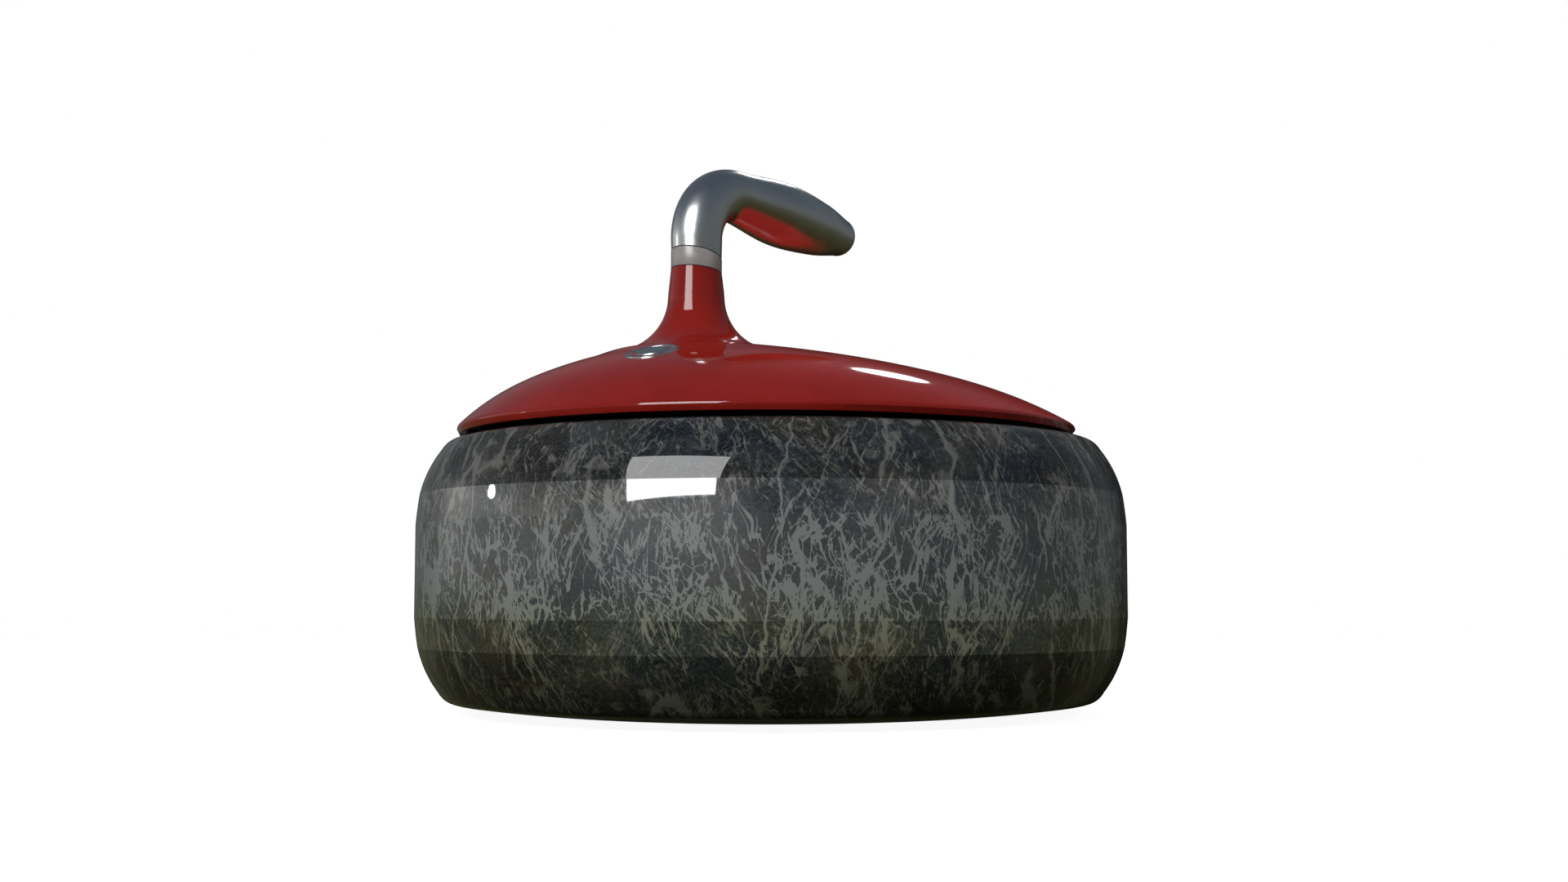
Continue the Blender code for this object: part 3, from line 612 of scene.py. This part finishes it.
def grip_rings(wall, steps, end_share):
    """Rings at this depth under the grip's skin, with a rounded end."""
    rings = []
    for i in range(steps + 1):
        share = end_share * i / steps
        rings.append(grip_ring(share, smooth_through(GRIP_RADII, share) - wall))
    end_radius = smooth_through(GRIP_RADII, end_share) - wall
    tip_share = end_radius * GRIP_TIP_LENGTH / sum(grip_lengths())
    for i in range(1, GRIP_TIP_STEPS + 1):
        angle = math.radians(GRIP_TIP_SWEEP * i / GRIP_TIP_STEPS)
        share = end_share + tip_share * math.sin(angle)
        rings.append(grip_ring(share, end_radius * math.cos(angle)))
    return rings


def make_grip(steel):
    """A bent tube, open at its mouth and closed at its tip."""
    outer = grip_rings(0.0, 130, 1.0)
    inner = grip_rings(GRIP_WALL, 60, GRIP_HOLLOW_END)
    mouth = [outer[0], inner[0]]
    mesh = skin_mesh([(outer, False, True), (inner, False, True), (mouth, False, False)])
    grip = add_piece("grip_tube", mesh, steel, GRIP_SMOOTH_ANGLE)
    stand_for(grip, "grip_shell")


# Badge


def cap_surface_z(x, y):
    """Height of the cap above the point (x, y), on the dome or the fillet."""
    inside, outside = NECK_FOOT_RADIUS, CAP_RADIUS
    for _ in range(HALVINGS):
        radius = (inside + outside) / 2
        if math.hypot(x - cap_centre_x(radius), y) > radius:
            inside = radius
        else:
            outside = radius
    fillet_edge = NECK_FOOT_RADIUS + FILLET_RADIUS
    if radius >= fillet_edge:
        return dome_z(radius)
    rise = FILLET_RADIUS - math.sqrt(FILLET_RADIUS**2 - (fillet_edge - radius) ** 2)
    return dome_z(fillet_edge) + rise


def badge_place():
    """The matrix that lays the badge on the cap, square to the surface there."""
    x, y = BADGE_CENTRE
    reach = BADGE_RADIUS
    behind, ahead = cap_surface_z(x - reach, y), cap_surface_z(x + reach, y)
    right, left = cap_surface_z(x, y - reach), cap_surface_z(x, y + reach)
    normal = Vector((behind - ahead, right - left, 2 * reach)).normalized()
    surface = Vector((x, y, (behind + ahead + right + left) / 4))
    floor = surface + normal * (BADGE_PROUD - BADGE_THICKNESS - GAP)
    turn = Vector((0.0, 0.0, 1.0)).rotation_difference(normal)
    return Matrix.Translation(floor * MM) @ turn.to_matrix().to_4x4()


def make_badge(silver):
    """A thin disc with a rounded edge, a ring-shaped groove and a slightly raised middle."""
    low, high, r = GAP, GAP + BADGE_THICKNESS, BADGE_RADIUS
    edge = BADGE_EDGE
    outline = [(r - edge, low), (r, low + edge), (r, high - edge), (r - 0.1, high - 0.08)]
    outline += [(r - edge, high), (r * 0.84, high), (r * 0.82, high - 0.24)]
    outline += [(r * 0.80, high - 0.3), (r * 0.62, high - 0.3), (r * 0.60, high - 0.22)]
    outline += [(r * 0.58, high + 0.1), (r * 0.55, high + 0.15), (r * 0.3, high + 0.2)]
    outline.append((0.02, high + 0.22))
    rings = [circle(radius, z, 128) for radius, z in outline]
    mesh = skin_mesh([(rings, True, True)])
    bmesh.ops.transform(mesh, matrix=badge_place(), verts=mesh.verts)
    badge = add_piece("badge_disc", mesh, silver, BADGE_SMOOTH_ANGLE)
    stand_for(badge, "id_badge")


# Materials


class Graph:
    """A node tree, with a short way to add nodes and to link or set their inputs. The tree is a
    new material's, or one that is given."""

    def __init__(self, name, tree=None):
        if tree is None:
            self.material = bpy.data.materials.new(name)
            self.material.use_nodes = True
            tree = self.material.node_tree
        self.tree = tree
        tree.nodes.clear()

    def node(self, kind, inputs=None, **settings):
        made = self.tree.nodes.new(kind)
        for key, value in settings.items():
            setattr(made, key, value)
        for key, value in (inputs or {}).items():
            socket = made.inputs[key]
            if isinstance(value, bpy.types.NodeSocket):
                self.tree.links.new(value, socket)
            else:
                socket.default_value = value
        return made

    def math(self, operation, a, b=0.0, c=0.0):
        made = self.node("ShaderNodeMath", {0: a, 1: b, 2: c}, operation=operation)
        return made.outputs[0]

    def vector_math(self, operation, a, b=(0.0, 0.0, 0.0)):
        made = self.node("ShaderNodeVectorMath", {0: a, 1: b}, operation=operation)
        return made.outputs["Value" if operation in ("DOT_PRODUCT", "LENGTH") else "Vector"]

    def scaled(self, vector, factor):
        inputs = {0: vector, "Scale": factor}
        return self.node("ShaderNodeVectorMath", inputs, operation="SCALE").outputs["Vector"]

    def ranged(self, value, low, high, to_low=0.0, to_high=1.0, smooth=True):
        """The value's range from low to high taken to another range, and held beyond it."""
        kind = "SMOOTHSTEP" if smooth else "LINEAR"
        inputs = {0: value, 1: low, 2: high, 3: to_low, 4: to_high}
        return self.node("ShaderNodeMapRange", inputs, interpolation_type=kind).outputs[0]

    def noise(self, vector, scale, detail=4.0, roughness=0.55, distortion=0.0):
        inputs = {
            "Vector": vector,
            "Scale": scale,
            "Detail": detail,
            "Roughness": roughness,
            "Distortion": distortion,
        }
        return self.node("ShaderNodeTexNoise", inputs)

    def mix(self, factor, a, b):
        made = self.node("ShaderNodeMix", data_type="RGBA")
        for index, value in ((0, factor), (6, a), (7, b)):
            if isinstance(value, bpy.types.NodeSocket):
                self.tree.links.new(value, made.inputs[index])
            elif index == 0:
                made.inputs[0].default_value = value
            else:
                made.inputs[index].default_value = (*value, 1.0)
        return made.outputs[2]

    def finish(self, shader):
        self.node("ShaderNodeOutputMaterial", {"Surface": shader.outputs[0]})
        return self.material


def millimetres(g):
    """The place on the object in millimetres."""
    place = g.node("ShaderNodeTexCoord").outputs["Object"]
    return g.vector_math("MULTIPLY", place, (1 / MM,) * 3)


def skin_place(g):
    """The place on the stone's skin in millimetres, rolled out from the band, and how far up
    the skin it is: over the bevels and the faces the height keeps counting along the skin."""
    place = millimetres(g)
    flat = g.vector_math("MULTIPLY", place, (1.0, 1.0, 0.0))
    radius = g.vector_math("LENGTH", flat)
    around = g.vector_math("MULTIPLY", g.vector_math("NORMALIZE", flat), (BAND_RADIUS,) * 3)
    height = g.node("ShaderNodeSeparateXYZ", {0: place}).outputs["Z"]
    half = g.math("SIGN", g.math("SUBTRACT", height, STONE_HEIGHT / 2))
    inward = g.math("SUBTRACT", BAND_RADIUS, radius)
    along = g.math("MULTIPLY_ADD", half, inward, height)
    upright = g.node("ShaderNodeCombineXYZ", {"Z": along}).outputs[0]
    return g.vector_math("ADD", around, upright), along


def leaning(g, place, along, slope):
    """The place turned round the axis in step with its height: upright lines lean by slope."""
    angle = g.math("MULTIPLY", along, slope / BAND_RADIUS)
    inputs = {"Vector": place, "Angle": angle}
    return g.node("ShaderNodeVectorRotate", inputs, rotation_type="Z_AXIS").outputs[0]


def shifted(g, place, shift):
    """The place moved up, so that a noise read there looks different."""
    return g.vector_math("ADD", place, (0.0, 0.0, shift))


def drawn_out(g, place, across, length):
    """The place in units of these sizes, for a pattern that is longer up the skin."""
    return g.vector_math("MULTIPLY", place, (1 / across, 1 / across, 1 / length))


def warped(g, place, size, amount, detail=2.0):
    """The place moved about by a noise of this size, all in millimetres."""
    wobble = g.noise(place, 1 / size, detail, 0.6).outputs["Color"]
    centred = g.vector_math("SUBTRACT", wobble, (0.5, 0.5, 0.5))
    inputs = {0: centred, 1: (amount,) * 3, 2: place}
    return g.node("ShaderNodeVectorMath", inputs, operation="MULTIPLY_ADD").outputs[0]


def threads(g, place, across, length, width, detail=3.0):
    """Wandering lines that run up the skin: where a drawn-out noise is at its middle. Width is
    how far from its middle the noise may be."""
    value = g.noise(drawn_out(g, place, across, length), 1.0, detail, 0.6).outputs["Fac"]
    off = g.math("ABSOLUTE", g.math("SUBTRACT", value, 0.5))
    return g.ranged(off, 0.0, width, 1.0, 0.0)


def cracks(g, place, size, width, tallness=1.6):
    """Thin lines along the borders of cells of this size in millimetres. Width is a share of
    the cell."""
    drawn = drawn_out(g, place, size, size * tallness)
    inputs = {"Vector": drawn, "Scale": 1.0, "Randomness": 1.0}
    cells = g.node("ShaderNodeTexVoronoi", inputs, feature="DISTANCE_TO_EDGE")
    return g.ranged(cells.outputs["Distance"], 0.0, width, 1.0, 0.0)


def areas(g, place, size, low, high, detail=3.0, roughness=0.6):
    """Areas of about this size in millimetres, 1 inside and 0 outside, where a pattern shows."""
    return g.ranged(g.noise(place, 1 / size, detail, roughness).outputs["Fac"], low, high)


def veins(g, place, torn, along):
    """Layers of lines that run up the stone, each with its weight: short threads that lean both
    ways, then wider veins, then a few long ones that cross the whole side."""
    layers = []
    leans = (
        # slope, across, length, width, weight
        (0.30, 11.0, 130.0, 0.017, 0.95),
        (-0.40, 9.0, 100.0, 0.019, 0.90),
        (0.05, 3.6, 42.0, 0.042, 0.62),
        (0.75, 6.0, 36.0, 0.022, 0.75),
    )
    for i, (slope, across, length, width, weight) in enumerate(leans):
        leant = leaning(g, warped(g, place, size=26.0, amount=9.0), along, slope)
        line = threads(g, shifted(g, leant, 700.0 * (i + 1)), across, length, width)
        where = areas(g, shifted(g, leant, 400.0 * i), 24.0, 0.46, 0.58)
        layers.append((g.math("MULTIPLY", line, where), weight))

    leant = leaning(g, torn, along, 0.22)
    vein = threads(g, leant, across=30.0, length=260.0, width=0.020, detail=1.0)
    where = areas(g, place, 42.0, 0.46, 0.54, detail=2.0, roughness=0.5)
    layers.append((g.math("MULTIPLY", vein, where), 0.95))

    leant = leaning(g, torn, along, -0.20)
    long_vein = threads(g, leant, across=62.0, length=520.0, width=0.0085, detail=1.0)
    where = areas(g, shifted(g, place, 150.0), 36.0, 0.40, 0.47, detail=2.0, roughness=0.5)
    layers.append((g.math("MULTIPLY", long_vein, where), 1.0))
    return layers


def crackle(g, place, bent, ragged):
    """Layers of a coarse and a fine net of cracks, each with its weight."""
    thinning = g.noise(place, 1 / 12.0, detail=3.0).outputs["Fac"]
    coarse = cracks(g, ragged, size=8.0, width=g.ranged(thinning, 0.35, 0.7, 0.02, 0.16))
    where = areas(g, bent, 24.0, 0.44, 0.58, detail=5.0, roughness=0.7)
    layers = [(g.math("MULTIPLY", coarse, where), 0.6)]

    fine = cracks(g, ragged, size=3.2, width=0.13, tallness=1.8)
    other_noise = g.noise(bent, 1 / 16.0, detail=5.0, roughness=0.7).outputs["Color"]
    other_noise = g.node("ShaderNodeSeparateColor", {0: other_noise}).outputs["Green"]
    layers.append((g.math("MULTIPLY", fine, g.ranged(other_noise, 0.44, 0.56)), 0.52))
    return layers


def streaked_patches(g, place, torn, along):
    """Pale patches made of short upright strokes."""
    blotches = drawn_out(g, torn, across=6.0, length=11.0)
    blotches = g.noise(blotches, 1.0, detail=9.0, roughness=0.72, distortion=0.4).outputs["Fac"]
    busy = areas(g, place, 55.0, 0.40, 0.60, detail=4.0)
    patches = g.math("MULTIPLY", g.ranged(blotches, 0.51, 0.70), g.ranged(busy, 0.0, 1.0, 0.3))
    hair = drawn_out(g, leaning(g, torn, along, 0.12), across=1.3, length=11.0)
    hair = g.noise(hair, 1.0, detail=3.0, roughness=0.6).outputs["Fac"]
    strokes = g.ranged(hair, 0.40, 0.56, 0.45, 1.15)
    return g.math("MULTIPLY", patches, strokes)


def clumped_clots(g, place):
    """Small round pale clots that lie together in a few places."""
    inputs = {"Vector": warped(g, place, size=6.0, amount=3.0), "Scale": 1 / 11.0}
    cells = g.node("ShaderNodeTexVoronoi", inputs)
    clots = g.ranged(cells.outputs["Distance"], 0.24, 0.34, 1.0, 0.0)
    where = areas(g, shifted(g, place, 310.0), 60.0, 0.58, 0.62, detail=2.0, roughness=0.5)
    return g.math("MULTIPLY", clots, where)


def granite_tone(g, place, along, patchy):
    """How light the stone is at a place, from 0 to about 1. Patchy scales its crackle and its
    patches."""
    bent = warped(g, place, size=30.0, amount=16.0)
    torn = warped(g, bent, size=7.0, amount=3.4, detail=5.0)
    ragged = warped(g, torn, size=2.2, amount=1.3, detail=4.0)
    layers = veins(g, place, torn, along)
    layers += [(layer, weight * patchy) for layer, weight in crackle(g, place, bent, ragged)]
    layers.append((streaked_patches(g, place, torn, along), 0.60 * patchy))
    leant = leaning(g, ragged, along, -0.18)
    hairlines = threads(g, leant, across=2.0, length=30.0, width=0.05, detail=2.0)
    where = areas(g, shifted(g, bent, 910.0), 20.0, 0.48, 0.60)
    layers.append((g.math("MULTIPLY", hairlines, where), 0.50))
    layers.append((clumped_clots(g, place), 0.55))

    tone = 0.0
    for layer, weight in layers:
        tone = g.math("MULTIPLY_ADD", layer, weight, tone)
    return tone


def dark_ground(g, place, grain):
    """The stone's dark colour between its veins: cold and warm clouds, with grain."""
    cloud = g.noise(place, 1 / 34.0, detail=6.0, roughness=0.68).outputs["Fac"]
    warm = areas(g, place, 40.0, 0.42, 0.60)
    dark = g.mix(warm, COLD_DARK, WARM_DARK)
    pale = g.mix(warm, COLD_PALE, WARM_PALE)
    base = g.mix(g.ranged(cloud, 0.38, 0.66), dark, pale)
    base = g.mix(g.ranged(grain, 0.46, 0.78, 0.0, 0.42), base, LIGHT_GRAIN)
    return g.mix(g.ranged(grain, 0.52, 0.30, 0.0, 0.55), base, DARK_GRAIN)


def granite_material(name, shine, polish, painted_light_gain, ground=False):
    """Dark veined stone. Shine is the specular level, polish the roughness, and the gain scales the
    colour as painted light and shade. On the ground band the lighter parts show as flat grey
    patches with sharp borders."""
    g = Graph(name)
    place, along = skin_place(g)
    tone = granite_tone(g, place, along, 1.0 if ground else POLISHED_PATCHINESS)
    grain = g.noise(place, 1 / 1.3, detail=4.0, roughness=0.75).outputs["Fac"]
    base = dark_ground(g, place, grain)
    if ground:
        base = g.mix(HAZE_SHARE, base, BAND_HAZE)
        rough_tone = g.math("MULTIPLY_ADD", g.math("SUBTRACT", grain, 0.5), 0.5, tone)
        colour = g.mix(g.ranged(rough_tone, 0.40, 0.49), base, BAND_VEIN)
    else:
        share = g.ranged(tone, 0.24, 1.10, 0.0, 0.70, smooth=False)
        colour = g.mix(share, base, VEIN)
    # Painted shade: darker towards the bottom, from the band's lower edge down over the underside
    low = g.ranged(along, -12.0, BAND_EDGE_Z)
    colour = g.vector_math("MULTIPLY", colour, g.mix(low, LOW_PAINTED_SHADE, NO_TINT))
    # Painted reflection: the lower part of the band and everything below it tinted olive, for the
    # ground it reflects
    olive_reflection_fade = g.ranged(along, 36.0, 54.0)
    colour = g.vector_math("MULTIPLY", colour, g.mix(olive_reflection_fade, OLIVE_PAINTED_REFLECTION, NO_TINT))
    # Painted light and shade: the colour scaled up on the bevels and down on the top and underside,
    # for how the light falls on them
    colour = g.scaled(colour, painted_light_gain)
    rough = g.ranged(tone, 0.0, 1.0, polish, polish + 0.02, smooth=False)
    inputs = {"Base Color": colour, "Roughness": rough, "IOR": 1.5, "Specular IOR Level": shine}
    return g.finish(g.node("ShaderNodeBsdfPrincipled", inputs))


def hone_granite_material():
    """The insert's even blue-grey granite: fine pale and dark grains on a mottled ground."""
    g = Graph("hone_granite")
    place = millimetres(g)
    mottle = g.noise(place, 1 / 9.0, detail=4.0, roughness=0.6).outputs["Fac"]
    colour = g.mix(g.ranged(mottle, 0.35, 0.65), (0.085, 0.105, 0.125), (0.15, 0.175, 0.195))
    grains = g.node("ShaderNodeTexVoronoi", {"Vector": place, "Scale": 1 / 0.9})
    shade = g.node("ShaderNodeSeparateColor", {0: grains.outputs["Color"]}).outputs["Red"]
    colour = g.mix(g.ranged(shade, 0.80, 0.86, 0.0, 0.7), colour, (0.42, 0.43, 0.42))
    colour = g.mix(g.ranged(shade, 0.20, 0.12, 0.0, 0.7), colour, (0.02, 0.025, 0.03))
    relief = {"Strength": 0.4, "Distance": 0.1 * MM, "Height": shade}
    inputs = {
        "Base Color": colour,
        "Roughness": g.ranged(mottle, 0.3, 0.7, 0.38, 0.55),
        "Normal": g.node("ShaderNodeBump", relief).outputs[0],
    }
    return g.finish(g.node("ShaderNodeBsdfPrincipled", inputs))


def worked_material(name, colours, roughness, patch, grain, relief, metallic=0.0, specular=0.5):
    """A material whose colour and gloss vary a little over patches, with a fine relief."""
    g = Graph(name)
    place = millimetres(g)
    broad = g.noise(place, 1 / patch, detail=4.0, roughness=0.6).outputs["Fac"]
    fine = g.noise(place, 1 / grain, detail=3.0, roughness=0.6).outputs["Fac"]
    both = g.math("MULTIPLY_ADD", g.math("SUBTRACT", fine, 0.5), 0.35, broad)
    bump = {"Strength": 1.0, "Distance": relief * MM, "Height": fine}
    inputs = {
        "Base Color": g.mix(g.ranged(both, 0.32, 0.68), *colours),
        "Roughness": g.ranged(both, 0.30, 0.70, *roughness),
        "Metallic": metallic,
        "Specular IOR Level": specular,
        "Normal": g.node("ShaderNodeBump", bump).outputs[0],
    }
    return g.finish(g.node("ShaderNodeBsdfPrincipled", inputs))


# Stage


def view_point(x, y, z):
    """A point given in the camera's own frame (right, away, up), in the object's frame."""
    return Matrix.Rotation(-HANDLE_TURN, 4, "Z") @ Vector((x, y, z))


def make_camera():
    """A camera close to the ice, below the cap's edge."""
    data = bpy.data.cameras.new("camera")
    data.lens = CAMERA_LENS
    data.sensor_width = 36.0
    camera = bpy.data.objects.new("camera", data)
    bpy.context.scene.collection.objects.link(camera)
    pitch, yaw = CAMERA_PITCH, CAMERA_YAW
    level = math.cos(pitch)
    ahead = view_point(math.sin(yaw) * level, math.cos(yaw) * level, math.sin(pitch))
    camera.location = view_point(*CAMERA_PLACE)
    camera.rotation_mode = "QUATERNION"
    camera.rotation_quaternion = ahead.to_track_quat("-Z", "Y")
    bpy.context.scene.camera = camera


def studio_light(
    name, size, radiance, azimuth, elevation, distance, roll=0.0, shape="RECTANGLE", glossy=True
):
    """A soft light of this size in metres and this brightness, which faces the stone. It stands
    in a direction given in degrees: the azimuth counts from straight away from the camera
    towards its right. One that isn't glossy lights the object and doesn't show in its gloss."""
    data = bpy.data.lights.new(name, "AREA")
    data.shape = shape
    data.size, data.size_y = size
    data.energy = radiance * math.pi * size[0] * size[1]
    light = bpy.data.objects.new(name, data)
    bpy.context.scene.collection.objects.link(light)
    light.visible_camera = False
    light.visible_glossy = glossy
    azimuth, elevation = math.radians(azimuth), math.radians(elevation)
    flat = math.cos(elevation)
    way = Vector((math.sin(azimuth) * flat, math.cos(azimuth) * flat, math.sin(elevation)))
    light.location = view_point(*(LIGHT_TARGET + way * distance))
    light.rotation_mode = "QUATERNION"
    facing = view_point(*-way).to_track_quat("-Z", "Y")
    light.rotation_quaternion = facing @ Quaternion((0.0, 0.0, 1.0), math.radians(roll))


def make_lights():
    """A window and two round lamps that show in the gloss, and three lights that don't."""
    window = {"azimuth": -147.0, "elevation": 31.5, "distance": 1.5, "roll": 6.0}
    studio_light("window_box", (0.78, 0.87), radiance=13.7, **window)
    side = {"azimuth": -80.0, "elevation": 11.5, "distance": 1.5}
    studio_light("side_lamp", (0.09, 0.05), radiance=22.0, shape="ELLIPSE", **side)
    back = {"azimuth": 13.4, "elevation": 35.3}
    studio_light("back_lamp", (0.41, 0.46), radiance=10.0, distance=4.0, shape="ELLIPSE", **back)
    studio_light("back_light", (1.0, 1.0), radiance=36.0, distance=2.0, glossy=False, **back)
    right = {"azimuth": 125.0, "elevation": 25.0, "distance": 1.6}
    studio_light("right_fill", (1.2, 1.0), radiance=2.4, glossy=False, **right)
    above = {"azimuth": 20.0, "elevation": 75.0, "distance": 1.3}
    studio_light("overhead", (1.0, 1.0), radiance=1.2, glossy=False, **above)


def graded(g, height, stops):
    """A colour for each height in a direction, -1 straight down and 1 straight up."""
    ramp = g.node("ShaderNodeValToRGB", {"Fac": g.math("MULTIPLY_ADD", height, 0.5, 0.5)})
    points = ramp.color_ramp.elements
    for i, (position, colour) in enumerate(GROUND + stops):
        point = points[i] if i < 2 else points.new(position)
        point.position = position / 2 + 0.5
        point.color = (*colour, 1.0)
    return ramp.outputs["Color"]


def make_world():
    """White behind the object, and the graded surround for its lighting and its gloss."""
    world = bpy.data.worlds.new("studio")
    bpy.context.scene.world = world
    world.use_nodes = True
    g = Graph("studio", world.node_tree)
    direction = g.node("ShaderNodeTexCoord").outputs["Generated"]
    height = g.node("ShaderNodeSeparateXYZ", {0: direction}).outputs["Z"]

    def towards(side):
        return g.vector_math("DOT_PRODUCT", direction, tuple(view_point(*side)))

    farness = towards(FAR_SIDE)
    bright = g.ranged(towards(BRIGHT_SIDE), *BRIGHT_RANGE)
    bright = g.math("MULTIPLY", bright, g.ranged(farness, *BRIGHT_END_RANGE, 1.0, 0.0))
    surround = g.mix(bright, graded(g, height, DIM_SKY), graded(g, height, BRIGHT_SKY))
    glow = g.ranged(towards(GLOW_SIDE), *GLOW_RANGE)
    glow = g.math("MULTIPLY", glow, g.ranged(height, *GLOW_HEIGHTS))
    surround = g.mix(glow, surround, GLOW)
    surround = g.scaled(surround, g.ranged(farness, *DIM_RANGE, 1.0, DIM_SHARE))
    seen = g.node("ShaderNodeBackground", {"Color": (1.0, 1.0, 1.0, 1.0), "Strength": 1.0})
    around = g.node("ShaderNodeBackground", {"Color": surround, "Strength": 1.0})
    is_camera = g.node("ShaderNodeLightPath").outputs["Is Camera Ray"]
    both = g.node("ShaderNodeMixShader", {0: is_camera, 1: around.outputs[0], 2: seen.outputs[0]})
    g.node("ShaderNodeOutputWorld", {"Surface": both.outputs[0]})


def make_floor():
    """A pale floor that fades out into the white behind it."""
    g = Graph("floor_white")
    place = g.node("ShaderNodeTexCoord").outputs["Object"]
    fade = g.ranged(g.vector_math("LENGTH", place), *FLOOR_FADE)
    matt = g.node("ShaderNodeBsdfDiffuse", {"Color": (FLOOR_GREY, FLOOR_GREY, FLOOR_GREY, 1.0)})
    glow = g.node("ShaderNodeEmission", {"Color": (1.0, 1.0, 1.0, 1.0), "Strength": FLOOR_GLOW})
    lit = g.node("ShaderNodeAddShader", {0: matt.outputs[0], 1: glow.outputs[0]})
    clear = g.node("ShaderNodeBsdfTransparent")
    both = g.node("ShaderNodeMixShader", {0: fade, 1: lit.outputs[0], 2: clear.outputs[0]})
    rings = [circle(radius, FLOOR_Z, 96) for radius in (1.0, FLOOR_RADIUS)]
    floor = add_piece("floor", skin_mesh([(rings, True, False)]), g.finish(both))
    floor.visible_glossy = False
    floor.visible_diffuse = False


def main():
    bpy.context.scene.view_settings.view_transform = "Standard"
    # Painted light and shade in the gains: bevels painted lighter, top and underside darker
    bevel_granite = granite_material("granite_bevel", shine=0.95, polish=0.03, painted_light_gain=1.3)
    band_granite = granite_material(
        "granite_band", shine=0.85, polish=0.06, painted_light_gain=1.05, ground=True
    )
    polished_granite = granite_material("granite_polished", shine=0.25, polish=0.02, painted_light_gain=0.74)
    hone_granite = hone_granite_material()
    worked = {name: worked_material(name, **look) for name, look in WORKED_MATERIALS.items()}

    make_stone(bevel_granite, band_granite, polished_granite)
    make_running_insert(hone_granite)
    make_cap(worked["red_plastic"])
    make_collar(worked["collar_plastic"])
    make_grip(worked["polished_steel"])
    make_badge(worked["silver_badge"])
    for name, material in KEPT_PIECES.items():
        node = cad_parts[name]
        node.data.materials.clear()
        node.data.materials.append(worked[material])

    make_camera()
    make_world()
    make_floor()
    make_lights()


main()
